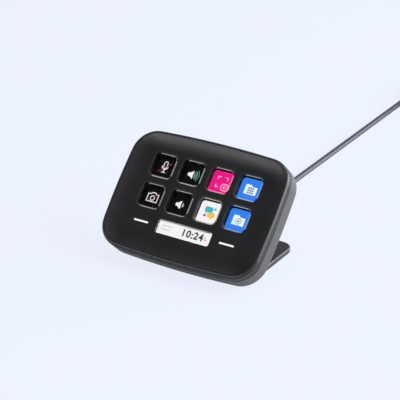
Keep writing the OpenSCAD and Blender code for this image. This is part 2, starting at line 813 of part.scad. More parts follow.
module board_screws() {
    color("#9a9da3") on_face() at_studs() translate([0, 0, main_under]) rotate([180, 0, 0])
        screw(main_t + stud_h);
}

module foot_screws() {
    color("#9a9da3") stance() at_hub_posts() translate([0, 0, foot_screw_seat])
        rotate([180, 0, 0]) screw(foot_top - foot_screw_seat + foot_bite);
}

// ---------- foot ----------

foot_edge = 0.8;
foot_front_corner = 2.5;
foot_bite = 5.5;          // depth of the foot's screws in the hub's posts
foot_screw_seat = foot_top - 1;
foot_mid = (foot_front + foot_back) / 2;
foot_l = foot_back - foot_front;
pad_inset = 3;
pad_gap = 0.2;
pad_corner = 4;

// The plate's plan: wide radii behind and small ones in front, set in by inset
function foot_plan(inset) =
    let (x = foot_w / 2 - inset, back = foot_back - inset, front = foot_front + inset,
         r = foot_corner - inset, s = foot_front_corner - inset)
    concat(quarter_turn([x - r, back - r], r, 0, 9), quarter_turn([r - x, back - r], r, 90, 9),
        quarter_turn([s - x, front + s], s, 180, 4), quarter_turn([x - s, front + s], s, 270, 4));

module foot_plate() {
    low_edge = 0.4;
    color("#343437") stance() difference() {
        loft([raised(foot_plan(low_edge), pad_proud),
            raised(foot_plan(0), pad_proud + low_edge),
            raised(foot_plan(0), foot_top - foot_edge),
            raised(foot_plan(0.25), foot_top - foot_edge * 0.32),
            raised(foot_plan(foot_edge), foot_top)]);
        translate([0, foot_mid, 0]) round_slab(foot_w - 2 * pad_inset, foot_l - 2 * pad_inset,
            pad_corner, pad_proud - past, pad_t);
        at_hub_posts() translate([0, 0, -past]) {
            cylinder(r = screw_pass_r, h = foot_top + 2 * past);
            cylinder(r = screw_head_r + pass_gap, h = foot_screw_seat + past);
        }
    }
}

// Length past which the grooves stop, width, depth and pitch of the pad's grooves
groove_inset = 8;
groove_w = 1;
groove_deep = 0.3;
groove_pitch = 7.5;
module foot_pad() {
    inset = pad_inset + pad_gap;
    color("#1b1b1d") stance() translate([0, foot_mid, 0]) difference() {
        round_slab(foot_w - 2 * inset, foot_l - 2 * inset, pad_corner - pad_gap, 0, pad_t);
        // shallow grooves that break the rubber's suction on the table
        for (k = [-2:2]) translate([0, k * groove_pitch, -past]) linear_extrude(past + groove_deep)
            square([foot_w - 2 * groove_inset, groove_w], center = true);
    }
}

// ---------- lead ----------

module plug_grip() {
    color("#26272b") stance() port_shape(plug_w, plug_h, plug_face, plug_face + plug_l);
}

// Width, height, length and wall of the plug's steel tube, which goes into the socket
plug_tube = [8.2, 2.4, 5.6, 0.4];
module plug_shell() {
    inner = [plug_tube[0] - 2 * plug_tube[3], plug_tube[1] - 2 * plug_tube[3]];
    color("#b9bcc1") stance() difference() {
        port_shape(plug_tube[0], plug_tube[1], plug_face - plug_tube[2], plug_face);
        port_shape(inner[0], inner[1], plug_face - plug_tube[2] - past, plug_face - 0.6);
    }
}

// First place, pitch and width of the grooves round the strain relief
relief_start_z = 2.2;
relief_pitch = 2.4;
relief_gap = 0.8;
module cable_relief() {
    color("#26272b") stance() translate([0, relief_start, port_z]) rotate([-90, 0, 0])
        difference() {
            cylinder(r1 = plug_h / 2 - 0.4, r2 = cable_d / 2 + 0.3, h = relief_l);
            for (z = [relief_start_z:relief_pitch:relief_l - 2]) translate([0, 0, z]) difference() {
                cylinder(r = plug_h, h = relief_gap);
                translate([0, 0, -past]) cylinder(r = cable_d / 2 + 0.1, h = relief_gap + 2 * past);
            }
        }
}

cable_sides = 8;
module cable_tube() {
    color("#3c4047") tube(concat([[0, cable_exit, port_z]], cable_route), cable_d / 2, cable_sides);
}

module cable_coil() {
    color("#3c4047") translate([coil_x, coil_y, 0]) rotate_extrude($fn = 64)
        translate([coil_r - coil_section / 2, 0]) square(coil_section);
}

// A strap round the three by three turns: it lifts them by its own thickness
module cable_tie() {
    w = coil_section + 2 * tie_gap;
    color("#17181a") translate([coil_x - tie_w / 2, coil_y + coil_r, 0]) rotate([90, 0, 90])
        linear_extrude(tie_w) difference() {
            translate([-w / 2 - tie_t, 0]) square([w + 2 * tie_t, coil_section + 2 * tie_t]);
            translate([-w / 2, tie_t]) square([w, coil_section]);
        }
}

module cable_tail() {
    color("#3c4047") tube(tail_route, cable_d / 2, cable_sides);
}

module at_far_plug() {
    translate(tail_route[len(tail_route) - 1]) rotate([90, 0, 0]) children();
}

module far_plug_grip() {
    tongue_w = far_shell_w - 1;
    color("#26272b") at_far_plug() {
        linear_extrude(far_l) round_rect(far_w, far_h, far_corner);
        translate([-tongue_w / 2, far_shell_t + 0.05 - far_shell_h / 2, far_l - eps])
            cube([tongue_w, far_tongue_t, far_shell_l - 0.8]);
    }
}

module far_plug_shell() {
    color("#b9bcc1") at_far_plug() translate([0, 0, far_l]) linear_extrude(far_shell_l)
        difference() {
            square([far_shell_w, far_shell_h], center = true);
            square([far_shell_w - 2 * far_shell_t, far_shell_h - 2 * far_shell_t], center = true);
        }
}

// ---------- drawing ----------

front_shell();
rear_shell();
for (i = [0:key_cols * key_rows - 1])
    key_cap(i);
key_mat();
key_board();
key_display();
display_tray();
info_window();
info_display();
touch_guide(-1);  // touch_guide_left
touch_guide(1);  // touch_guide_right
touch_pad(-1);  // touch_pad_left
touch_pad(1);  // touch_pad_right
main_board();
display_ribbon();
info_ribbon();
usb_board();
usb_socket();
usb_ribbon();
case_screws();
tray_screws();
board_screws();
foot_screws();
foot_plate();
foot_pad();
plug_grip();
plug_shell();
cable_relief();
cable_tube();
cable_coil();
cable_tie();
cable_tail();
far_plug_grip();
far_plug_shell();
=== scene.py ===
"""A desk macro keypad: eight clear picture keys over one lit display, an info bar and two touch strips in a
dished black face that leans back on a fixed foot, with a slate-grey lead out of its back.

Lengths are in millimetres unless a name or a comment says otherwise; places go to metres in place functions.
"""
import math

import bpy
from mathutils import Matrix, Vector


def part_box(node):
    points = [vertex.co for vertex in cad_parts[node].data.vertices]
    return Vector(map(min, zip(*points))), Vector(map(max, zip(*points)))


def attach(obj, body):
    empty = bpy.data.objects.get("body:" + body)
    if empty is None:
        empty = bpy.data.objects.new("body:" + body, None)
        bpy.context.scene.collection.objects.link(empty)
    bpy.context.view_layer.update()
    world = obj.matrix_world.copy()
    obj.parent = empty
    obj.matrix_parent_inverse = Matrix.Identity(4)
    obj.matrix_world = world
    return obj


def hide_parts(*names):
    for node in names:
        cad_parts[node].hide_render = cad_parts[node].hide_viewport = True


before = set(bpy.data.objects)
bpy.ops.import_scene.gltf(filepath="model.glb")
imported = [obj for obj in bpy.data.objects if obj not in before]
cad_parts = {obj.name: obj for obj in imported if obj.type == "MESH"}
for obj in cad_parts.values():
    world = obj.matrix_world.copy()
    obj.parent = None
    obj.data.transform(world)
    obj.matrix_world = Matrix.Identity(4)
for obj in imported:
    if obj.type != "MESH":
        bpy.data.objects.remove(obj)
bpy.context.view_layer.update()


# ---------- Studio ----------
# The keypad stands on a pale seamless table under soft lamps. The camera is to the right of it, a little
# above, far off with a long lens. Nothing here belongs to the object.

MM = 0.001
PALE = "#edf2fe"


def linear(code):
    """An sRGB hex colour as linear red, green and blue, with alpha."""
    parts = [int(code[i:i + 2], 16) / 255 for i in (1, 3, 5)]
    return [c / 12.92 if c < 0.04045 else ((c + 0.055) / 1.055) ** 2.4 for c in parts] + [1]


def add(tree, kind, settings=None, inputs=None):
    """Adds a node. Settings are its own properties; inputs are values or the sockets that feed them."""
    made = tree.nodes.new(kind)
    for name, value in (settings or {}).items():
        setattr(made, name, value)
    for name, value in (inputs or {}).items():
        if isinstance(value, bpy.types.NodeSocket):
            tree.links.new(value, made.inputs[name])
        else:
            made.inputs[name].default_value = value
    return made


def new_material(name):
    """A material with an empty tree."""
    material = bpy.data.materials.new(name)
    material.use_nodes = True
    material.node_tree.nodes.clear()
    return material


def new_object(name, data):
    """An object of the scene, from its data."""
    made = bpy.data.objects.new(name, data)
    bpy.context.scene.collection.objects.link(made)
    return made


camera = new_object("camera", bpy.data.cameras.new("camera"))
camera.data.lens = 145.06
camera.location = Vector((448.06, -719.54, 438.81)) * MM
camera.rotation_euler = (math.radians(90 - 25.405), 0, math.radians(31.963))
bpy.context.scene.camera = camera
bpy.context.scene.view_settings.view_transform = "Standard"

lamp_target = Vector((0, 0, 0.03))


def softbox(name, azimuth, elevation, distance, width, height, watts):
    """A rectangular lamp aimed at the object: azimuth 0 is in front, 90 to its right. Sizes in metres."""
    lamp = new_object(name, bpy.data.lights.new(name, "AREA"))
    lamp.data.shape = "RECTANGLE"
    lamp.data.size = width
    lamp.data.size_y = height
    lamp.data.energy = watts
    a = math.radians(azimuth)
    e = math.radians(elevation)
    away = Vector((math.sin(a) * math.cos(e), -math.cos(a) * math.cos(e), math.sin(e)))
    lamp.location = lamp_target + away * distance
    lamp.rotation_euler = away.to_track_quat("Z", "Y").to_euler()


softbox("back_lamp", 170, 65, 1.6, 1.2, 1.0, 5)
softbox("right_lamp", 100, 25, 1.5, 1.0, 1.0, 36)
softbox("right_back_lamp", 140, 12, 1.5, 0.9, 0.6, 19)
softbox("front_left_lamp", -30, 14, 1.6, 1.8, 0.36, 8.4)
# Small square lamps that the keys' bevels mirror, from their top edges round to their lower right corners
rim_lamp_distance = 1.6
rim_lamps = [(-115, 59, 0.24, 0.75), (-10, 86, 0.34, 2.3), (34, 71, 0.26, 1), (31, 53, 0.26, 1),
             (17, 38, 0.26, 0.8), (5, 26, 0.3, 1.2), (-12, 15.5, 0.26, 0.9)]
for k, (azimuth, elevation, width, watts) in enumerate(rim_lamps):
    softbox(f"rim_lamp_{k + 1}", azimuth, elevation, rim_lamp_distance, width, width, watts)


def in_sight(tree):
    """1 where the camera sees something, also in gloss or through glass, and 0 where it only gives light."""
    path = add(tree, "ShaderNodeLightPath")
    either = add(tree, "ShaderNodeMath", {"operation": "ADD"},
                 {0: path.outputs["Is Camera Ray"], 1: path.outputs["Is Glossy Ray"]})
    shown = add(tree, "ShaderNodeMath", {"operation": "ADD", "use_clamp": True},
                {0: either.outputs[0], 1: path.outputs["Is Transmission Ray"]})
    return shown.outputs[0]


# The room: pale walls below the lamps, and a dark ceiling above them
world = bpy.data.worlds.new("studio")
world.use_nodes = True
world.node_tree.nodes.clear()
bpy.context.scene.world = world
tree = world.node_tree
direction = add(tree, "ShaderNodeTexCoord")
height = add(tree, "ShaderNodeSeparateXYZ", inputs={0: direction.outputs["Generated"]})
walls = add(tree, "ShaderNodeMapRange", {"interpolation_type": "SMOOTHSTEP"},
            {"Value": height.outputs["Z"], "From Min": 0.1, "From Max": 0.45, "To Min": 1, "To Max": 0.04})
room = add(tree, "ShaderNodeMix", {"data_type": "RGBA"},
           {"Factor": walls.outputs[0], 6: [0, 0, 0, 1], 7: linear(PALE)})
seen = add(tree, "ShaderNodeBackground", inputs={"Color": room.outputs[2], "Strength": 1})
fill = add(tree, "ShaderNodeBackground", inputs={"Color": linear(PALE), "Strength": 0.25})
both = add(tree, "ShaderNodeMixShader", inputs={0: in_sight(tree), 1: fill.outputs[0], 2: seen.outputs[0]})
add(tree, "ShaderNodeOutputWorld", inputs={"Surface": both.outputs[0]})

# The table, in metres: a wide flat, a hair below the foot's pad
floor_reach = 3
floor_z = -0.0001
floor_corners = [(x * floor_reach, y * floor_reach, floor_z)
                 for x, y in ((-1, -1), (1, -1), (1, 1), (-1, 1))]
floor_mesh = bpy.data.meshes.new("table")
floor_mesh.from_pydata(floor_corners, [], [(0, 1, 2, 3)])
floor = new_object("table", floor_mesh)
# Matt paper: evenly pale to the camera, with only a soft shadow of the object on it
material = new_material("matt_paper_sweep")
tree = material.node_tree
paper = add(tree, "ShaderNodeBsdfDiffuse", inputs={"Color": linear("#bcc1cc")})
even_light = add(tree, "ShaderNodeEmission", inputs={"Color": linear(PALE), "Strength": 1.03})
path = add(tree, "ShaderNodeLightPath")
mirrored = add(tree, "ShaderNodeMath", {"operation": "MULTIPLY"}, {0: in_sight(tree), 1: 0.05})
share = add(tree, "ShaderNodeMath", {"operation": "MULTIPLY_ADD"},
            {0: path.outputs["Is Camera Ray"], 1: 0.84, 2: mirrored.outputs[0]})
sweep = add(tree, "ShaderNodeMixShader",
            inputs={0: share.outputs[0], 1: paper.outputs[0], 2: even_light.outputs[0]})
add(tree, "ShaderNodeOutputMaterial", inputs={"Surface": sweep.outputs[0]})
floor.data.materials.append(material)


# ---------- Lead ----------
# A round data lead in a soft satin jacket of slate-grey TPE. It runs down from the strain relief to the table
# and along it; what is spare is wound in a coil of three by three turns, and its end turns back to a plug.

lead_d = 3.6
coil_r = 21.6
strap_t = 0.8
points_per_turn = 24
whole_turns = 8.5
# The last share of each turn moves over to the next slot
moving_share = 0.28
# How far along the turns the strap still lifts them, in degrees
strap_reach = 35
# Each turn's slot in the coil: columns out from the middle one, and rows up from the table
coil_slots = [(1, 0), (0, 0), (-1, 0), (-1, 1), (-1, 2), (0, 2), (0, 1), (1, 1), (1, 2)]
# The lead's centreline, in metres: its exit, its way to the coil, and from there to the far plug
coil_centre = Vector((0.0226, 0.304, 0))
lead_exit = (0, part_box("cable_relief")[1][1], 0.015)
lead_route = [
    lead_exit, (0, 0.054, 0.015), (0, 0.060, 0.0148), (-0.0001, 0.066, 0.0139), (-0.0003, 0.073, 0.0115),
    (-0.0006, 0.080, 0.0082), (-0.001, 0.087, 0.005), (-0.0014, 0.094, 0.0028), (-0.0018, 0.101, 0.0019),
    (-0.0022, 0.109, 0.0018), (-0.0025, 0.118, 0.0018), (-0.0026, 0.128, 0.0018)]
lead_route += [(-0.0026, 0.140 + 0.015 * k, 0.0018) for k in range(10)]
lead_route.append((-0.0026, 0.292, 0.0018))
tail_route = [(0.0478, 0.296, 0.008), (0.0478, 0.287, 0.0056), (0.0478, 0.279, 0.0043),
              (0.0478, 0.270, 0.0041)]


def coil_point(k):
    """Point k of the coil, which turns clockwise from its left side."""
    turn = k // points_per_turn
    share = k / points_per_turn - turn
    crossed = max(0, (share - 1 + moving_share) / moving_share)
    crossed = crossed * crossed * (3 - 2 * crossed)
    now = coil_slots[turn]
    after = coil_slots[min(turn + 1, len(coil_slots) - 1)]
    column, row = [n + (a - n) * crossed for n, a in zip(now, after)]
    angle = 180 - 360 * share
    from_strap = (angle - 90 + 180) % 360 - 180
    lift = strap_t * math.exp(-(from_strap / strap_reach) ** 2)
    r = (coil_r + column * lead_d) * MM
    a = math.radians(angle)
    return coil_centre + Vector((r * math.cos(a), r * math.sin(a), ((row + 0.5) * lead_d + lift) * MM))


coil_points = [coil_point(k) for k in range(int(whole_turns * points_per_turn) + 1)]
route = [Vector(p) for p in lead_route] + coil_points + [Vector(p) for p in tail_route]
lead_curve = bpy.data.curves.new("lead", "CURVE")
lead_curve.dimensions = "3D"
lead_curve.bevel_depth = lead_d / 2 * MM
lead_curve.bevel_resolution = 6
lead_curve.resolution_u = 4
lead_curve.use_fill_caps = True
spline = lead_curve.splines.new("BEZIER")
spline.bezier_points.add(len(route) - 1)
for knot, place in zip(spline.bezier_points, route):
    knot.co = place
    knot.handle_left_type = knot.handle_right_type = "AUTO"
lead = new_object("lead", lead_curve)

# TPE jacket: dull and even, with the faint haze of an extruded skin in patches of 2 mm
material = new_material("extruded_tpe_jacket")
tree = material.node_tree
where = add(tree, "ShaderNodeTexCoord")
haze = add(tree, "ShaderNodeTexNoise",
           inputs={"Vector": where.outputs["Object"], "Scale": 1 / (2 * MM), "Detail": 3})
shade = add(tree, "ShaderNodeMix", {"data_type": "RGBA"},
            {"Factor": haze.outputs[0], 6: linear("#2f343b"), 7: linear("#3a4048")})
jacket = add(tree, "ShaderNodeBsdfPrincipled",
             inputs={"Base Color": shade.outputs[2], "Roughness": 0.5, "IOR": 1.5})
add(tree, "ShaderNodeOutputMaterial", inputs={"Surface": jacket.outputs[0]})
lead.data.materials.append(material)
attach(lead, "case")
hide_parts("cable_tube", "cable_coil", "cable_tail")


# ---------- Front moulding ----------
# The face is one thin moulding of black ABS: a rim, a shallow dish and a flat with the windows. Its tool was
# spark-eroded, which leaves a fine matt grain. Ribs behind the flat part the keys and hold their sheet down.

body_w = 107
body_h = 77
body_t = 17.5
corner_r = 15.5
top_bow = 2.1
side_bow = 1.6
wall = 2
face_wall = 1.4
dish_depth = 2.5
dish_margin = 11.6
dish_side = 2
dish_rise = 1.4
crest_r = 1.8
# The crest's radius in the solids, which sets how the body stands and how far up it is hollow
rim_r = 1.4
seam_depth = 5.3
seam_gap = 0.75
seam_round = 0.25
tongue_t = 0.9
tongue_h = 1.8
lean = math.radians(43.5)
face_lift = 38.6
foot_back = 44.3
face_top = -dish_depth
face_under = face_top - face_wall
front_reach = (body_h / 2 - rim_r) * math.sin(lean) - rim_r * math.cos(lean) + rim_r
stance_y = (front_reach - foot_back) / 2
# How many steps the arcs of the outline, the rim and the dish take
side_steps = 5
corner_steps = 24
top_steps = 8
rim_steps = 8
dish_steps = 20


def on_table(x, y, z):
    """A place in the frame of the foot, in metres."""
    return Vector((x, stance_y + y, z)) * MM


def on_face(x, y, z):
    """A place in the face's own frame, in metres: z is 0 at the rim's crest and points out of the face."""
    return on_table(x, y * math.sin(lean) - z * math.cos(lean),
                    face_lift + y * math.cos(lean) + z * math.sin(lean))


def arc(centre, r, start, end, steps):
    """Points of an arc, both ends in; angles in degrees."""
    turns = [math.radians(start + (end - start) * i / steps) for i in range(steps + 1)]
    return [(centre[0] + r * math.cos(a), centre[1] + r * math.sin(a)) for a in turns]


top_arc = ((body_w / 2) ** 2 + top_bow ** 2) / (2 * top_bow)
side_arc = ((body_h / 2) ** 2 + side_bow ** 2) / (2 * side_bow)
top_arc_y = body_h / 2 - top_arc
side_arc_x = body_w / 2 - side_arc


def corner_at(r, inset_x, inset_y):
    """Centre of the top right corner's arc, which touches the side's and the top's bows from inside."""
    a = top_arc - inset_y - r
    b = side_arc - inset_x - r
    apart = math.hypot(side_arc_x, top_arc_y)
    along = (a * a - b * b + apart * apart) / (2 * apart)
    off = math.sqrt(a * a - along * along)
    return ((along * side_arc_x - off * top_arc_y) / apart,
            top_arc_y + (-along * top_arc_y - off * side_arc_x) / apart)


def outline(inset_x, inset_y):
    """The body's outline of eight arcs, anticlockwise, its sides and its top and bottom set in."""
    least_corner = 0.6
    r = max(corner_r - (inset_x + inset_y) / 2, least_corner)
    c = corner_at(r, inset_x, inset_y)
    low = math.degrees(math.atan2(c[1], c[0] - side_arc_x))
    high = math.degrees(math.atan2(c[1] - top_arc_y, c[0]))
    quarter = (arc((side_arc_x, 0), side_arc - inset_x, 0, low, side_steps)[:-1]
               + arc(c, r, low, high, corner_steps)
               + arc((0, top_arc_y), top_arc - inset_y, high, 90, top_steps)[1:])
    half = quarter + [(-x, y) for x, y in reversed(quarter[:-1])]
    return half + [(-x, -y) for x, y in half[1:-1]]


def level(points, z, x=0, y=0):
    """Flat points raised to a level, and moved."""
    return [(p[0] + x, p[1] + y, z) for p in points]


def loft(name, rings, place):
    """A closed skin over rings of equally many points, from the lowest ring up, as an object."""
    n = len(rings[0])
    sides = [(a * n + i, a * n + (i + 1) % n, (a + 1) * n + (i + 1) % n, (a + 1) * n + i)
             for a in range(len(rings) - 1) for i in range(n)]
    ends = [tuple(reversed(range(n))), tuple(range(n * (len(rings) - 1), n * len(rings)))]
    mesh = bpy.data.meshes.new(name)
    mesh.from_pydata([place(*p) for ring in rings for p in ring], [], sides + ends)
    return new_object(name, mesh)


def joined(pieces):
    """Several closed meshes as one object, the first."""
    with bpy.context.temp_override(active_object=pieces[0], selected_editable_objects=pieces):
        bpy.ops.object.join()
    return pieces[0]


def merge(piece, other, operation):
    """Cuts the other mesh from the piece, or adds it, and clears the other away."""
    step = piece.modifiers.new("merge", "BOOLEAN")
    step.operation = operation
    step.solver = "EXACT"
    step.material_mode = "TRANSFER"
    step.object = other
    shown_now = piece.evaluated_get(bpy.context.evaluated_depsgraph_get())
    piece.data = bpy.data.meshes.new_from_object(shown_now)
    piece.modifiers.clear()
    bpy.data.objects.remove(other)


def even_shading(piece, crease=30):
    """Smooth shading that keeps flats flat and leaves edges sharper than the crease's degrees sharp."""
    piece.data.shade_smooth()
    piece.data.set_sharp_from_angle(angle=math.radians(crease))
    weighting = piece.modifiers.new("even_shading", "WEIGHTED_NORMAL")
    weighting.keep_sharp = True


def round_in(r, steps, top, inset=0):
    """Rings of [inset, level] that round an edge of radius r over, from its side up to its top."""
    turns = [math.radians(90 * i / steps) for i in range(steps + 1)]
    return [(inset + r * (1 - math.cos(a)), top - r * (1 - math.sin(a))) for a in turns]


def dish_ring(s, below=0):
    """The dish's outline at a share s of its margin: 0 at the rim and 1 at the flat."""
    inset = crest_r + dish_margin * s
    z = -dish_depth * (1 - (1 - s) ** 2) - below
    return level(outline(inset + dish_side * s, inset), z, y=dish_rise * s)


def body_ring(inset, z):
    """The body's outline, set in evenly."""
    return level(outline(inset, inset), z)


def moulded(name, dark, light, roughness, grain, depth, sheen=0.0):
    """Moulded plastic: its tool's grain is a bump, in mm, and its colour and gloss wander a little."""
    flow_width = 18
    gloss_drift = 0.05
    material = new_material(name)
    tree = material.node_tree
    where = add(tree, "ShaderNodeTexCoord")
    pits = add(tree, "ShaderNodeTexNoise",
               inputs={"Vector": where.outputs["Object"], "Scale": 1 / (grain * MM), "Detail": 2})
    bump = add(tree, "ShaderNodeBump",
               inputs={"Height": pits.outputs[0], "Strength": 0.6, "Distance": depth * MM})
    flow = add(tree, "ShaderNodeTexNoise",
               inputs={"Vector": where.outputs["Object"], "Scale": 1 / (flow_width * MM), "Detail": 3})
    shade = add(tree, "ShaderNodeMix", {"data_type": "RGBA"},
                {"Factor": flow.outputs[0], 6: linear(dark), 7: linear(light)})
    gloss = add(tree, "ShaderNodeMapRange",
                inputs={"Value": flow.outputs[0], "To Min": roughness - gloss_drift,
                        "To Max": roughness + gloss_drift})
    plastic = add(tree, "ShaderNodeBsdfPrincipled",
                  inputs={"Base Color": shade.outputs[2], "Roughness": gloss.outputs[0], "IOR": 1.53,
                          "Normal": bump.outputs[0], "Sheen Weight": sheen})
    add(tree, "ShaderNodeOutputMaterial", inputs={"Surface": plastic.outputs[0]})
    return material


# ABS from a spark-eroded tool: nearly black and matt, so that the dish shades softly. The grain is drawn at
# five times its real 0.12 mm so that it shows from a step away
eroded_grain = 5 * 0.12
black_abs = moulded("spark_eroded_black_abs", "#0c0c0d", "#0f0f11", 0.4, eroded_grain, 0.09, 0.04)

front_lip = -seam_depth + seam_gap / 2
tongue_end = -seam_depth - tongue_h
shoulder = -rim_r - 1
# From behind: the hollow, the tongue with the seam's lip, the rim and the dish
hollow = [dish_ring(1, face_wall), dish_ring(0.5, face_wall), body_ring(wall, shoulder)]
tongue = [body_ring(wall, tongue_end), body_ring(wall - tongue_t, tongue_end),
          body_ring(wall - tongue_t, front_lip), body_ring(seam_round, front_lip),
          body_ring(0, front_lip + seam_round)]
rim = [body_ring(inset, z) for inset, z in round_in(crest_r, rim_steps, 0)]
dish = [dish_ring((i + 1) / dish_steps) for i in range(dish_steps)]
front = loft("front_moulding", hollow + tongue + rim + dish, on_face)
front.data.materials.append(black_abs)

key_size = 15.4
key_corner = 3
key_pitch = 19.4
key_rise = 7.6
key_gap = 0.25
key_travel = 0.8
rib_t = 1.6
# The gap between rigid pieces that lie against each other
touch_gap = 0.3
flange_t = 0.8
flange_top = face_under - touch_gap
flange_under = flange_top - flange_t
flange_w = key_pitch - rib_t - 2 * touch_gap
mat_top = flange_under - key_travel - touch_gap
# Row by row from the top left
key_places = [((i % 4 - 1.5) * key_pitch, key_rise + (0.5 - i // 4) * key_pitch) for i in range(8)]
info_w = 36.4
info_h = 8.4
info_corner = 1.2
info_drop = 18.3
info_side_gap = 0.1
strip_l = 9.8
strip_w = 1
strip_x = 29.1
strip_side_gap = 0.05
pinhole = (-28, -info_drop - 4.8)
pinhole_d = 0.8
pinhole_corner = 0.39
# The lip's slope from a window's wall to the flat, as how far out and how deep it is
lip_slope = [(0, 0.25), (0.06, 0.14), (0.16, 0.065), (0.3, 0.015), (0.42, 0)]
# How worn the lips of the small windows are, next to the keys'
info_wear = 0.4
slight_wear = 0.2
# How far a cutter runs past the face that it opens
past = 1


def rounded(w, h, r, steps=8):
    """A rounded rectangle, anticlockwise."""
    x = w / 2 - r
    y = h / 2 - r
    return (arc((x, y), r, 0, 90, steps) + arc((-x, y), r, 90, 180, steps)
            + arc((-x, -y), r, 180, 270, steps) + arc((x, -y), r, 270, 360, steps))


def window(x, y, w, h, r, low, wear=1):
    """A cutter for a window in the flat, with a round lip that is worn to a share of the keys' lips."""
    profile = [(0, low)] + [(out * wear, face_top - deep * wear) for out, deep in lip_slope]
    profile.append((lip_slope[-1][0] * wear, past))
    rings = [level(rounded(w + 2 * out, h + 2 * out, r + out), z, x, y) for out, z in profile]
    return loft("window", rings, on_face)


ribs_w = 4 * key_pitch + rib_t
ribs_h = 2 * key_pitch + rib_t
ribs_corner = 1
ribs_sink = 0.3
ribs = loft("ribs", [level(rounded(ribs_w, ribs_h, ribs_corner), z, 0, key_rise)
                     for z in (mat_top, face_under + ribs_sink)], on_face)
merge(front, ribs, "UNION")
pocket_w = flange_w + 2 * touch_gap
pocket_corner = 3.9
pockets = [loft("pocket", [level(rounded(pocket_w, pocket_w, pocket_corner), z, x, y)
                           for z in (mat_top - past, face_under)], on_face) for x, y in key_places]
merge(front, joined(pockets), "DIFFERENCE")
opening = key_size + 2 * key_gap
windows = [window(x, y, opening, opening, key_corner + key_gap, mat_top - past) for x, y in key_places]
windows.append(window(0, -info_drop, info_w + 2 * info_side_gap, info_h + 2 * info_side_gap,
                      info_corner + info_side_gap, face_under - past, info_wear))
for x in (-strip_x, strip_x):
    windows.append(window(x, -info_drop, strip_l + 2 * strip_side_gap, strip_w + 2 * strip_side_gap,
                          strip_w / 2, face_under - past, slight_wear))
windows.append(window(*pinhole, pinhole_d, pinhole_d, pinhole_corner, face_under - past, slight_wear))
merge(front, joined(windows), "DIFFERENCE")
even_shading(front)
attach(front, "case")
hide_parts("front_shell")


# ---------- Rear moulding ----------
# The back of the case is a deeper tub of the same ABS, closed on the front moulding by a tongue and a shadow
# gap. A hub with an upright back wall joins it to the foot and holds the lead's socket in a recess.

rear_r = 4.2
tongue_gap = 0.2
foot_t = 3.3
pad_proud = 0.6
foot_top = pad_proud + foot_t
hub_w = 54
hub_back = 28
hub_top = 29
hub_round = 4
hub_corner = 6
hub_sink = 1
port_z = 15
port_recess = 1
plug_w = 12
plug_h = 6.4
recess_gap = 0.4
recess_corner = 3.5
post_r = 3.5
post_sink = 0.5
post_turn = math.radians(20)
bore_r = 2.7
bore_depth = 3


def depth_y(height, depth):
    """How far behind the face's centre the leaning body has a depth at a height above the table."""
    return (height - face_lift) * math.tan(lean) + depth / math.cos(lean)


def hub_ring(inset, height):
    """The hub's plan: rounded corners behind, and a front that runs into the leaning body."""
    x = hub_w / 2 - inset
    back = hub_back - inset
    front_y = depth_y(height, body_t - hub_sink)
    r = hub_corner - inset
    plan = arc((x - r, back - r), r, 0, 90, 8) + arc((r - x, back - r), r, 90, 180, 8)
    return level(plan + [(-x, front_y), (x, front_y)], height)


def along_port(x, y, z):
    """A place for something that points straight back out of the socket: its z is how far back it lies."""
    return on_table(-x, z, port_z + y)


def circle(x, y, r, points):
    """Points round a circle, anticlockwise."""
    return arc((x, y), r, 0, 360 * (points - 1) / points, points - 1)


rear_lip = -seam_depth - seam_gap / 2
tongue_floor = tongue_end - tongue_gap
rear_edge = [body_ring(inset, -body_t - z) for inset, z in reversed(round_in(rear_r, 10, 0))]
rear_step = [body_ring(0, rear_lip - seam_round), body_ring(seam_round, rear_lip),
             body_ring(wall / 2, rear_lip), body_ring(wall / 2, tongue_floor),
             body_ring(wall, tongue_floor), body_ring(wall, wall - body_t)]
rear = loft("rear_moulding", rear_edge + rear_step, on_face)
# The same ABS in charcoal: a little lighter and duller than the face, with a haze of light at its edges
rear.data.materials.append(moulded("spark_eroded_charcoal_abs", "#2a2a2c", "#303032", 0.48, eroded_grain,
                                   0.09, 0.2))
hub_rings = [hub_ring(0, foot_top)] + [hub_ring(inset, z) for inset, z in round_in(hub_round, 6, hub_top)]
merge(rear, loft("hub", hub_rings, on_table), "UNION")
recess = loft("recess", [level(rounded(plug_w + 2 * recess_gap, plug_h + 2 * recess_gap, recess_corner), z)
                         for z in (hub_back - port_recess, hub_back + past)], along_port)
merge(rear, recess, "DIFFERENCE")
# The case screws' bores: their posts stand in the corners, each against the wall
post_inset = wall + post_r - post_sink
post_c = corner_at(corner_r, 0, 0)
post_x = post_c[0] + (corner_r - post_inset) * math.cos(post_turn)
post_y = post_c[1] + (corner_r - post_inset) * math.sin(post_turn)
bores = [loft("bore", [level(circle(0, 0, bore_r, 48), z, x, y)
                       for z in (-body_t - past, -body_t + bore_depth)], on_face)
         for x in (-post_x, post_x) for y in (-post_y, post_y)]
merge(rear, joined(bores), "DIFFERENCE")
even_shading(rear)
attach(rear, "case")
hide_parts("rear_shell")


# ---------- Keys ----------
# Each key is a two-shot moulding: a clear acrylic lens with a dished top, in a black skirt with a flange that
# keeps it in its window. It slides straight into the face.

cap_recess = 0.1
cap_top = face_top - cap_recess
cap_bevel_w = 0.8
cap_hollow = 0.3
cap_middle = 4
cap_corner_least = 0.8
hollow_steps = 8
# The lens's edge from its side up to the crest, as how far in and how deep it is
bevel_start = (0.11, 0.3)
bevel_end = (0.72, 0.042)
cap_slope = [(0, 0.5), (0.01, 0.43), (0.035, 0.37), (0.07, 0.325), bevel_start, bevel_end, (0.76, 0.018)]
mat_t = 0.5
board_t = 0.6
display_top = mat_top - mat_t - board_t
cap_under = display_top + key_travel + touch_gap
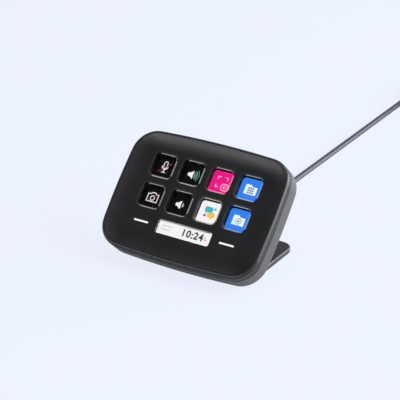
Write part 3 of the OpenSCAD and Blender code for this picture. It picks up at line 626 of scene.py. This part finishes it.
# The grounds of the pictures below, key by key
ink_black = "#050505"
screen_white = "#f6f5f7"
screen_magenta = "#ee0f83"
screen_blue = "#2f81f0"
grounds = [ink_black, ink_black, screen_magenta, screen_blue, ink_black, ink_black, screen_white, screen_blue]

# Polished acrylic: clear, with the faint haze that fingers leave in patches of 6 mm
clear_acrylic = new_material("polished_clear_acrylic")
tree = clear_acrylic.node_tree
where = add(tree, "ShaderNodeTexCoord")
smears = add(tree, "ShaderNodeTexNoise",
             inputs={"Vector": where.outputs["Object"], "Scale": 1 / (6 * MM), "Detail": 4})
haze = add(tree, "ShaderNodeMapRange", inputs={"Value": smears.outputs[0], "To Min": 0.06, "To Max": 0.11})
lens = add(tree, "ShaderNodeBsdfPrincipled",
           inputs={"Base Color": linear("#ffffff"), "Roughness": haze.outputs[0], "IOR": 1.49,
                   "Transmission Weight": 1})
add(tree, "ShaderNodeOutputMaterial", inputs={"Surface": lens.outputs[0]})


def painted_glow_bevel(name, code):
    """The lens's bevel, which shows nothing clearly: a glossy black coat with a faint painted glow in the
    colour of the picture below it.
    """
    material = new_material(name)
    tree = material.node_tree
    where = add(tree, "ShaderNodeTexCoord")
    drift = add(tree, "ShaderNodeTexNoise", inputs={"Vector": where.outputs["Object"], "Scale": 1 / (9 * MM)})
    gloss = add(tree, "ShaderNodeMapRange",
                inputs={"Value": drift.outputs[0], "To Min": 0.12, "To Max": 0.18})
    rim = add(tree, "ShaderNodeBsdfPrincipled",
              inputs={"Base Color": linear(ink_black), "Roughness": gloss.outputs[0], "IOR": 1.49,
                      "Coat Weight": 1, "Coat Roughness": 0.14, "Emission Color": linear(code),
                      "Emission Strength": 0.1})
    add(tree, "ShaderNodeOutputMaterial", inputs={"Surface": rim.outputs[0]})
    return material


# One bevel material for each colour of ground, each with a painted glow of that colour
painted_glow_bevels = {code: painted_glow_bevel(f"acrylic_bevel_painted_glow_{k}", code) for k, code in enumerate(dict.fromkeys(grounds))}
# ABS from a polished tool: a glossy black skirt that mirrors the window round it
skirt_black = moulded("gloss_black_abs_skirt", "#050506", "#070708", 0.16, 0.5, 0.001)


def dress(piece, material, body="case"):
    """Gives a piece its one material and the body that it moves with."""
    piece.data.materials.clear()
    piece.data.materials.append(material)
    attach(piece, body)


# A cap from its open underside up: the flange, the side with its bevel, and the hollow of its top
flange_out = (flange_w - key_size) / 2
cap_profile = [(0, cap_under), (0, flange_under), (-flange_out, flange_under), (-flange_out, flange_top),
               (0, flange_top)]
skirt_rows = len(cap_profile) + cap_slope.index(bevel_start)
rim_rows = cap_slope.index(bevel_end) - cap_slope.index(bevel_start)
cap_profile += [(inset, cap_top - deep) for inset, deep in cap_slope]
hollow_reach = key_size / 2 - cap_bevel_w - cap_middle / 2
for k in range(hollow_steps):
    s = (k + 1) / hollow_steps
    cap_profile.append((cap_bevel_w + hollow_reach * s, cap_top - cap_hollow * (1 - (1 - s) ** 2)))

for i, (x, y) in enumerate(key_places):
    rings = []
    for inset, z in cap_profile:
        width = key_size - 2 * inset
        rings.append(level(rounded(width, width, max(key_corner - inset, cap_corner_least)), z, x, y))
    cap = loft(f"key_{i + 1}_lens", rings, on_face)
    dress(cap, clear_acrylic, f"key_{i + 1}")
    cap.data.materials.append(skirt_black)
    # The third material is the bevel's, with the painted glow of its picture's ground
    cap.data.materials.append(painted_glow_bevels[grounds[i]])
    row = len(rings[0])
    for face in cap.data.polygons[:(skirt_rows + rim_rows) * row]:
        face.material_index = 1 if face.index < skirt_rows * row else 2
    even_shading(cap)
    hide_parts(f"key_cap_{i + 1}")


# ---------- Key sheet, boards and panel ----------
# A sheet of silicone springs the keys, on a board with a window for each. One liquid-crystal panel behind
# them all gives every key its picture, and a pressed steel tray holds it. The main board, its ribbons and the
# steel screws lie behind.

def plain(name, code, roughness, grain, **more):
    """A plain finish whose colour wanders a little: its grain in mm, and more of the shader's inputs."""
    material = new_material(name)
    tree = material.node_tree
    where = add(tree, "ShaderNodeTexCoord")
    mottle = add(tree, "ShaderNodeTexNoise",
                 inputs={"Vector": where.outputs["Object"], "Scale": 1 / (grain * MM), "Detail": 3})
    bright = add(tree, "ShaderNodeMapRange",
                 inputs={"Value": mottle.outputs[0], "To Min": 0.85, "To Max": 1.15})
    shade = add(tree, "ShaderNodeHueSaturation", inputs={"Color": linear(code), "Value": bright.outputs[0]})
    finish = add(tree, "ShaderNodeBsdfPrincipled",
                 inputs={"Base Color": shade.outputs[0], "Roughness": roughness})
    for socket, value in more.items():
        finish.inputs[socket.replace("_", " ")].default_value = value
    add(tree, "ShaderNodeOutputMaterial", inputs={"Surface": finish.outputs[0]})
    return material


def dress_nodes(material, *nodes):
    """Gives CAD pieces, whose shape is right as it is, their material."""
    for node in nodes:
        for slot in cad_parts[node].material_slots:
            slot.material = material


# The grains of all these finishes are drawn coarser than they are, about a millimetre wide, so that they show
# Silicone: a soft grey skin with hardly a shine
dress_nodes(plain("satin_silicone", "#8d9096", 0.6, 1.5, IOR=1.41), "key_mat")
# Solder mask: a thin lacquer that shines, mottled by the copper under it
dress_nodes(plain("black_solder_mask", "#111312", 0.35, 2, IOR=1.55), "key_board")
dress_nodes(plain("green_solder_mask", "#1f5c3a", 0.35, 2, IOR=1.55), "main_board", "usb_board")
# The panel's glass: near black, with clear reflections
dress_nodes(plain("panel_glass_over_black", "#060607", 0.12, 8, IOR=1.52), "key_display")
# Steel: cool and cloudy under zinc, warmer and brighter under nickel, dark and dull under black oxide
dress_nodes(plain("zinc_plated_steel", "#b4b7bc", 0.32, 0.8, Metallic=1), "display_tray", "usb_socket")
dress_nodes(plain("nickel_plated_steel", "#c9cacd", 0.22, 1, Metallic=1), "tray_screws", "board_screws",
            "foot_screws", "plug_shell")
dress_nodes(plain("black_oxide_steel", "#38393c", 0.4, 0.6, Metallic=1), "case_screws")
# Film and foil: the ribbons' glossy amber plastic, and the pads' soft copper
dress_nodes(plain("amber_polyimide_film", "#c98a3a", 0.3, 3, IOR=1.7),
            "display_ribbon", "info_ribbon", "usb_ribbon")
dress_nodes(plain("rolled_copper_foil", "#c98f5e", 0.35, 1, Metallic=1), "touch_pad_left", "touch_pad_right")


# ---------- Key pictures ----------
# The lit pictures on the panel: plain signs on black, or on a ground of one colour. They are thin plates of
# light that lie on the panel's glass, one colour to a plate.

plate_t = 0.04


def lit(name, code):
    """A colour of the lit screen, which glows evenly and hardly shines."""
    material = new_material(name)
    light = add(material.node_tree, "ShaderNodeBsdfPrincipled",
                inputs={"Base Color": linear(ink_black), "Roughness": 0.3, "Emission Color": linear(code),
                        "Emission Strength": 1.05})
    add(material.node_tree, "ShaderNodeOutputMaterial", inputs={"Surface": light.outputs[0]})
    return material


def plates(name, shapes, x, y, z, material):
    """Thin flat plates round a point of the face. A shape is one edge, or an outer and an inner edge."""
    points = []
    faces = []
    for edges in shapes:
        n = len(edges[0])
        first = len(points)
        for edge in edges:
            for height in (z, z + plate_t):
                points += [on_face(x + px, y + py, height) for px, py in edge]
        low, top, inner_low, inner_top = [first + n * k for k in range(4)]
        walls = [(low, top)]
        if len(edges) == 1:
            faces += [tuple(low + k for k in reversed(range(n))), tuple(top + k for k in range(n))]
        else:
            walls += [(inner_top, inner_low), (top, inner_top), (inner_low, low)]
        faces += [(a + k, a + (k + 1) % n, b + (k + 1) % n, b + k) for a, b in walls for k in range(n)]
    mesh = bpy.data.meshes.new(name)
    mesh.from_pydata(points, [], faces)
    piece = new_object(name, mesh)
    dress(piece, material)
    return piece


def line(points, width, closed=False):
    """A line of even width along points, mitred at its corners."""
    sharpest_mitre = 0.3
    n = len(points)
    left = []
    right = []
    for k in range(n):
        here = Vector(points[k])
        before = here - Vector(points[k - 1]) if closed or k else None
        after = Vector(points[(k + 1) % n]) - here if closed or k < n - 1 else before
        first = (before or after).normalized()
        across = (first + after.normalized()).orthogonal().normalized()
        reach = across * (width / 2 / max(sharpest_mitre, across.dot(first.orthogonal())))
        left.append(tuple(here + reach))
        right.append(tuple(here - reach))
    return (right, left) if closed else (right + left[::-1],)


def moved(points, x, y):
    """Flat points moved across and up."""
    return [(px + x, py + y) for px, py in points]


def ring(x, y, r, width):
    """A ring-shaped line."""
    return line(circle(x, y, r, 24), width, True)


def dot(x, y, r):
    """A round dot."""
    return (circle(x, y, r, 16),)


white = lit("lit_white", screen_white)
crimson = lit("lit_crimson", "#a3214f")
green = lit("lit_green", "#4fbb94")
mint = lit("lit_mint", "#a5e8cf")
cool_white = lit("lit_cool_white", "#ebf9ff")
magenta = lit("lit_magenta", screen_magenta)
rose = lit("lit_rose", "#ffb9dc")
blue = lit("lit_blue", screen_blue)
slate = lit("lit_slate_blue", "#5c80a8")
teal = lit("lit_teal", "#2fb9c6")
amber = lit("lit_amber", "#f3c455")
plum = lit("lit_plum", "#8f2358")

# The signs, drawn round the middle of a key
microphone = [line(moved(rounded(2.2, 4.4, 1.09), 0, 1.7), 0.45, True),
              line(arc((0, 1.2), 2.2, 190, 350, 16), 0.45),
              line([(0, -1.0), (0, -3.0)], 0.5), line([(-1.3, -3.1), (1.3, -3.1)], 0.5)]
loudspeaker = [([(-3.2, -1.0), (-1.9, -1.0), (0.3, -2.7), (0.3, 2.7), (-1.9, 1.0), (-3.2, 1.0)],)]
near_waves = [line(arc((-0.7, 0), r, -42, 42, 12), 0.32) for r in (2.3, 3.7)]
far_waves = [line(arc((-0.7, 0), 5.1, -42, 42, 12), 0.32)]
one_wave = [line(arc((0.2, 0), 1.6, -42, 42, 8), 0.5)]
corners = [line([(sx * 3.3, sy * 1.5), (sx * 3.3, sy * 3.3), (sx * 1.5, sy * 3.3)], 0.5)
           for sx, sy in ((-1, 1), (1, 1), (-1, -1))]
badge = [line(moved(rounded(4.6, 4.0, 1.3), 2.8, -2.8), 0.6, True),
         line(moved(rounded(1.5, 1.5, 0.4, 3), 2.8, -2.8), 0.4, True)]
folder = [([(-4, -3), (4, -3), (4, 2), (0.4, 2), (-0.5, 3.1), (-3.5, 3.1), (-4, 2.6)],)]
grid = [(moved(rounded(1.1, 1.1, 0.2, 2), gx * 1.45, gy * 1.45 - 0.5),)
        for gx in (-1, 0, 1) for gy in (-1, 0, 1)]
dial = [ring(0, -0.5, 1.7, 0.4), dot(0, -0.5, 0.7)]
camera_body = [(-3.6, -2.7), (3.6, -2.7), (3.6, 2.0), (1.9, 2.0), (1.1, 3.0), (-1.1, 3.0), (-1.9, 2.0),
               (-3.6, 2.0)]
camera_sign = [line(camera_body, 0.5, True), ring(0, -0.4, 1.4, 0.45)]
slash = [line([(-3.9, -3.3), (3.9, 3.4)], 0.42)]
ground = [(moved(rounded(14.8, 14.2, 2.4), 0, -0.3),)]


def bubble(x, y, w, h, tail):
    """A speech bubble whose tail hangs below it at a place across."""
    return [(moved(rounded(w, h, h * 0.36), x, y),),
            (moved([(tail - 0.8, 0.2), (tail + 0.8, 0.2), (tail - 0.8, -1.4)], x, y - h / 2),)]


# The plates of each key's picture, from the glass up
pictures = [
    [(white, microphone), (crimson, slash)],
    [(white, loudspeaker), (mint, near_waves), (green, far_waves)],
    [(magenta, ground), (rose, corners + badge)],
    [(blue, ground), (cool_white, folder), (slate, grid)],
    [(white, camera_sign), (crimson, slash)],
    [(white, loudspeaker + one_wave)],
    [(white, ground), (amber, bubble(1.2, -1.2, 5.2, 3.4, 1)), (teal, bubble(-1.1, 1.9, 5.4, 3.4, -1)),
     (plum, [dot(-2.7, -2.2, 0.8)]), (green, [dot(2.9, 2.7, 0.8)])],
    [(blue, ground), (cool_white, folder), (slate, dial)]]
# Signs on black stand a little left of the middle, to leave room for a mark beside them
sign_shift = -0.7
for i, (x, y) in enumerate(key_places):
    shift = sign_shift if grounds[i] == ink_black else 0
    for k, (material, shapes) in enumerate(pictures[i]):
        plates(f"key_{i + 1}_picture_{k + 1}", shapes, x + shift, y, display_top + k * plate_t / 2, material)


# ---------- Info bar ----------
# A clear acrylic window, set flush in the face over a small white screen with the time in plain digits.
# A flange behind the face keeps it in its opening.

info_recess = 0.05
info_top = face_top - info_recess
info_flange_w = 1.1
info_flange_t = 0.7
info_base = face_under - info_flange_t
info_edge_r = 0.3
info_corner_least = 0.5
# The window's rim stands on the screen, which leaves a thin hollow over the picture
info_rim_w = 0.4
info_hollow = 0.3
info_profile = [(info_rim_w, info_base + info_hollow), (info_rim_w, info_base), (-info_flange_w, info_base),
                (-info_flange_w, face_under), (0, face_under)] + round_in(info_edge_r, 5, info_top)
rings = [level(rounded(info_w - 2 * inset, info_h - 2 * inset, max(info_corner - inset, info_corner_least)),
               z, 0, -info_drop) for inset, z in info_profile]
info_lens = loft("info_lens", rings, on_face)
dress(info_lens, clear_acrylic)
even_shading(info_lens)
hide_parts("info_window")
# The screen's white frame: an even, slightly glossy plastic
dress_nodes(plain("white_screen_frame", "#e9eaec", 0.4, 4, IOR=1.5), "info_display")

grey = lit("lit_pale_grey", "#dcd9dd")
ink = lit("lit_dark_ink", "#2e2d32")
pink = lit("lit_pink", "#f3a9bb")
ground_border = 0.45
ground_corner = 0.8
plates("info_ground", [(rounded(info_w - 2 * ground_border, info_h - 2 * ground_border, ground_corner),)],
       0, -info_drop, info_base, white)
print_z = info_base + plate_t / 2
note_x = -15.5
note_lines = [line([(note_x, row), (note_x + long, row)], 0.8) for row, long in ((1.2, 7.5), (-0.9, 6.2))]
plates("info_note", note_lines, 0, -info_drop, print_z, grey)
mark_lines = [line([(13.4, -0.6), (15.6, -0.6)], 0.9), line([(13.4, 0.8), (14.6, 0.8)], 0.7)]
plates("info_mark", mark_lines, 0, -info_drop, print_z, pink)
time_x = 5.6
text = bpy.data.curves.new("time", "FONT")
text.body = "10:24"
text.size = 6
text.offset = 0.17
text.space_character = 1.12
text.align_x = "CENTER"
text.align_y = "CENTER"
text.extrude = plate_t / 2
letters = new_object("time_outline", text)
digits = new_object("info_digits", bpy.data.meshes.new_from_object(letters))
bpy.data.objects.remove(letters)
for vertex in digits.data.vertices:
    x, y, z = vertex.co
    vertex.co = on_face(x + time_x, y - info_drop, z + info_base + 1.5 * plate_t)
dress(digits, ink)


# ---------- Touch strips ----------
# Two frosted acrylic light guides end flush in slots of the face. Lamps on the key board light them white,
# and a copper foil behind the face feels a finger on them.

# Frosted acrylic: it spreads the lamps' light to an even white, a shade uneven with the frosting, which is
# drawn 1.5 mm wide so that it shows
glow = new_material("frosted_acrylic_lit_white")
tree = glow.node_tree
where = add(tree, "ShaderNodeTexCoord")
frost = add(tree, "ShaderNodeTexNoise", inputs={"Vector": where.outputs["Object"], "Scale": 1 / (1.5 * MM)})
shade = add(tree, "ShaderNodeMix", {"data_type": "RGBA"},
            {"Factor": frost.outputs[0], 6: linear("#eceaec"), 7: linear("#fbfafb")})
guide = add(tree, "ShaderNodeBsdfPrincipled",
            inputs={"Base Color": linear("#8c8e90"), "Roughness": 0.45, "IOR": 1.49,
                    "Emission Color": shade.outputs[2], "Emission Strength": 0.75})
add(tree, "ShaderNodeOutputMaterial", inputs={"Surface": guide.outputs[0]})
dress_nodes(glow, "touch_guide_left", "touch_guide_right")


# ---------- Foot ----------
# A flat plate of the same ABS, with a rounded edge all round and a recess below for its rubber pad. Four
# screws from below hold it to the hub.

foot_w = 86.8
foot_corner = 7
foot_front_corner = 2.5
foot_gap = 0.5
foot_edge_r = 0.9
# The lower edge's round, as how far in and how far up it is
foot_under_round = [(0.4, 0), (0.12, 0.12), (0, 0.4)]
pad_t = 1.1
pad_inset = 3
pad_corner = 4
foot_front = depth_y(foot_top, body_t) + foot_gap
foot_mid = (foot_front + foot_back) / 2
foot_l = foot_back - foot_front


def foot_ring(inset, z):
    """The foot's plan: wide corners behind and small ones in front."""
    x = foot_w / 2 - inset
    back = foot_back - inset
    front_y = foot_front + inset
    r = foot_corner - inset
    s = foot_front_corner - inset
    return level(arc((x - r, back - r), r, 0, 90, 14) + arc((r - x, back - r), r, 90, 180, 14)
                 + arc((s - x, front_y + s), s, 180, 270, 6) + arc((x - s, front_y + s), s, 270, 360, 6), z)


under_edge = [foot_ring(inset, pad_proud + up) for inset, up in foot_under_round]
top_edge = [foot_ring(inset, z) for inset, z in round_in(foot_edge_r, 8, foot_top)]
foot = loft("foot_moulding", under_edge + top_edge, on_table)
pocket = loft("pad_pocket", [level(rounded(foot_w - 2 * pad_inset, foot_l - 2 * pad_inset, pad_corner),
                                   z, 0, foot_mid) for z in (pad_proud - past, pad_t)], on_table)
merge(foot, pocket, "DIFFERENCE")
# ABS from a less deeply eroded tool: satin, so that it takes a soft reflection of the table
dress(foot, moulded("satin_black_abs", "#2a2a2e", "#303034", 0.36, eroded_grain, 0.02))
even_shading(foot)
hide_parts("foot_plate")
# Rubber: dull and nearly black, its grain drawn wide enough to show
dress_nodes(plain("non_slip_rubber", "#1b1b1d", 0.85, 0.8, IOR=1.52), "foot_pad")


# ---------- Plugs, strain relief and strap ----------
# The lead's near end is a plug with a soft overmould, which runs on as a ribbed taper round the lead. Its far
# end is a larger plug with a folded steel shell, and a woven strap holds the coil together.

plug_l = 20
plug_corner = plug_h / 2 - 0.01
plug_near_r = 0.4
plug_far_r = 1.4
plug_face = hub_back - port_recess + touch_gap
# Three grooves for the fingers: where the first one's middle is, and half their width at the top and below
groove_start = 6.5
groove_pitch = 3
groove_depth = 0.35
groove_top = 0.7
groove_bottom = 0.25
grip_profile = [(inset, plug_face - z) for inset, z in reversed(round_in(plug_near_r, 4, 0))]
for k in range(3):
    groove = plug_face + groove_start + k * groove_pitch
    grip_profile += [(0, groove - groove_top), (groove_depth, groove - groove_bottom),
                     (groove_depth, groove + groove_bottom), (0, groove + groove_top)]
grip_profile += [(inset, plug_face + plug_l + z) for inset, z in round_in(plug_far_r, 6, 0)]
grip_rings = [level(rounded(plug_w - 2 * inset, plug_h - 2 * inset, plug_corner - inset), z)
              for inset, z in grip_profile]
grip = loft("lead_plug_grip", grip_rings, along_port)

relief_l = 12
relief_start = plug_face + plug_l
relief_r = plug_h / 2 - 0.4
relief_end_r = lead_d / 2 + 0.3
relief_slot_r = lead_d / 2 + 0.1
relief_slot_start = 2.2
relief_slot_pitch = 2.4
# The taper's radii and how far along they are, with four slots down to the lead whose edges are rounded
relief_profile = [(relief_r, 0)]
for k in range(4):
    slot = relief_slot_start + relief_slot_pitch * k
    here = relief_r - (relief_r - relief_end_r) * slot / relief_l
    relief_profile += [(here, slot - 0.1), (here - 0.1, slot), (relief_slot_r, slot + 0.05),
                       (relief_slot_r, slot + 0.75), (here - 0.2, slot + 0.8), (here - 0.1, slot + 0.9)]
relief_profile += [(lead_d / 2 + 0.35, relief_l - 0.3), (lead_d / 2 + 0.2, relief_l)]
relief = loft("lead_relief", [level(circle(0, 0, r, 48), relief_start + z) for r, z in relief_profile],
              along_port)


def along_far_plug(x, y, z):
    """A place for the far plug, which points back along the table from the end of the lead."""
    return Vector(tail_route[-1]) + Vector((x, -z, y)) * MM


far_w = 15.6
far_h = 8.2
far_l = 24
far_corner = 2
# The share of an inset that the corners' radius loses
far_corner_loss = 0.6
far_near_r = 1.2
far_far_r = 0.8
far_profile = [(inset, -z) for inset, z in reversed(round_in(far_near_r, 6, 0))]
far_profile += [(inset, far_l + z) for inset, z in round_in(far_far_r, 5, 0)]
far_rings = [level(rounded(far_w - 2 * inset, far_h - 2 * inset, far_corner - inset * far_corner_loss), z)
             for inset, z in far_profile]
far_grip = loft("far_plug_moulding", far_rings, along_far_plug)
# TPE, as on the lead but moulded: a satin black that hardly shines, its grain drawn wide enough to show
overmould = moulded("satin_tpe_overmould", "#1d1e20", "#232427", 0.6, 0.4, 0.01)
for piece, node in ((grip, "plug_grip"), (relief, "cable_relief"), (far_grip, "far_plug_grip")):
    dress(piece, overmould)
    even_shading(piece)
    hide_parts(node)

# The steel shell and the tongue are sunk in the moulding, and the tongue lies low and ends short of the mouth
far_shell_w = 12
far_shell_h = 4.5
far_shell_l = 12
far_shell_t = 0.35
far_shell_corner = 0.5
far_shell_sink = 0.4
far_mouth = far_l + far_shell_l
far_tongue_w = 11.2
far_tongue_t = 1.8
far_tongue_corner = 0.1
far_tongue_y = -0.95
far_tongue_sink = 0.5
far_tongue_short = 1
tongue_plan = rounded(far_tongue_w, far_tongue_t, far_tongue_corner, 2)
far_tongue = loft("far_plug_tongue", [level(tongue_plan, z, 0, far_tongue_y) for z in
                                      (far_l - far_tongue_sink, far_mouth - far_tongue_short)],
                  along_far_plug)
# Glass-filled nylon: an even, slightly yellow white
dress(far_tongue, plain("white_glass_filled_nylon", "#e6e6e2", 0.5, 1, IOR=1.53))
shell_profile = [(0, far_l - far_shell_sink), (0, far_mouth - 0.1), (0.1, far_mouth), (0.25, far_mouth),
                 (far_shell_t, far_mouth - 0.1), (far_shell_t, far_l)]
shell_rings = [level(rounded(far_shell_w - 2 * inset, far_shell_h - 2 * inset, far_shell_corner, 4), z)
               for inset, z in shell_profile]
far_shell = loft("far_plug_case", shell_rings, along_far_plug)
# Two square holes in the top of the shell, for the socket's springs
hole_x = 3.2
hole_z = far_l + 5
hole_w = 2.2
hole_cut = (1, 3)
hole_corners = [(x * hole_w / 2, z * hole_w / 2) for x, z in ((-1, -1), (-1, 1), (1, 1), (1, -1))]
holes = [loft("hole", [[(x + dx, y, hole_z + dz) for dx, dz in hole_corners] for y in hole_cut],
              along_far_plug) for x in (-hole_x, hole_x)]
merge(far_shell, joined(holes), "DIFFERENCE")
# Folded steel under nickel: bright, and a little cloudier than the screws
dress(far_shell, plain("folded_nickel_plated_steel", "#c9cacd", 0.25, 1, Metallic=1))
even_shading(far_shell)
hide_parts("far_plug_shell")

strap_w = 9
strap_slack = 0.2
strap_corner = 2.4
strap_inner_corner = 1.7
strap_steps = 8
bundle = 3 * lead_d


def round_coil(x, y, z):
    """A place on the coil's bundle: x along its turns from the strap's middle, y out from it and z up."""
    a = math.radians(90) - x / coil_r
    return coil_centre + Vector((math.cos(a) * (coil_r + y), math.sin(a) * (coil_r + y), z)) * MM


def strap_loft(name, width, height, r, reach, low):
    """A rounded tube round the coil's bundle, as far as a reach to both sides of the strap's middle."""
    section = rounded(width, height, r)
    rings = [[(reach * (2 * k / strap_steps - 1), px, py + low + height / 2) for px, py in section]
             for k in range(strap_steps + 1)]
    return loft(name, rings, round_coil)


inner_w = bundle + strap_slack
strap = strap_loft("lead_strap", inner_w + 2 * strap_t, bundle + 2 * strap_t, strap_corner, strap_w / 2, 0)
strap_inside = strap_loft("strap_inside", inner_w, bundle, strap_inner_corner, strap_w, strap_t)
merge(strap, strap_inside, "DIFFERENCE")
# Woven nylon: dull and slightly hairy, with ribs along it that are drawn six times as coarse as their real
# 0.6 mm so that they show
material = new_material("woven_nylon_strap")
tree = material.node_tree
where = add(tree, "ShaderNodeTexCoord")
weave = add(tree, "ShaderNodeTexWave", {"wave_type": "BANDS", "bands_direction": "X"},
            {"Vector": where.outputs["Object"], "Scale": 1 / (0.6 * MM) / 20, "Distortion": 1.5})
bump = add(tree, "ShaderNodeBump", inputs={"Height": weave.outputs[0], "Strength": 0.8, "Distance": 0.1 * MM})
nylon = add(tree, "ShaderNodeBsdfPrincipled",
            inputs={"Base Color": linear("#1a1b1d"), "Roughness": 0.8, "IOR": 1.53, "Normal": bump.outputs[0],
                    "Sheen Weight": 0.3})
add(tree, "ShaderNodeOutputMaterial", inputs={"Surface": nylon.outputs[0]})
dress(strap, material)
even_shading(strap)
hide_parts("cable_tie")
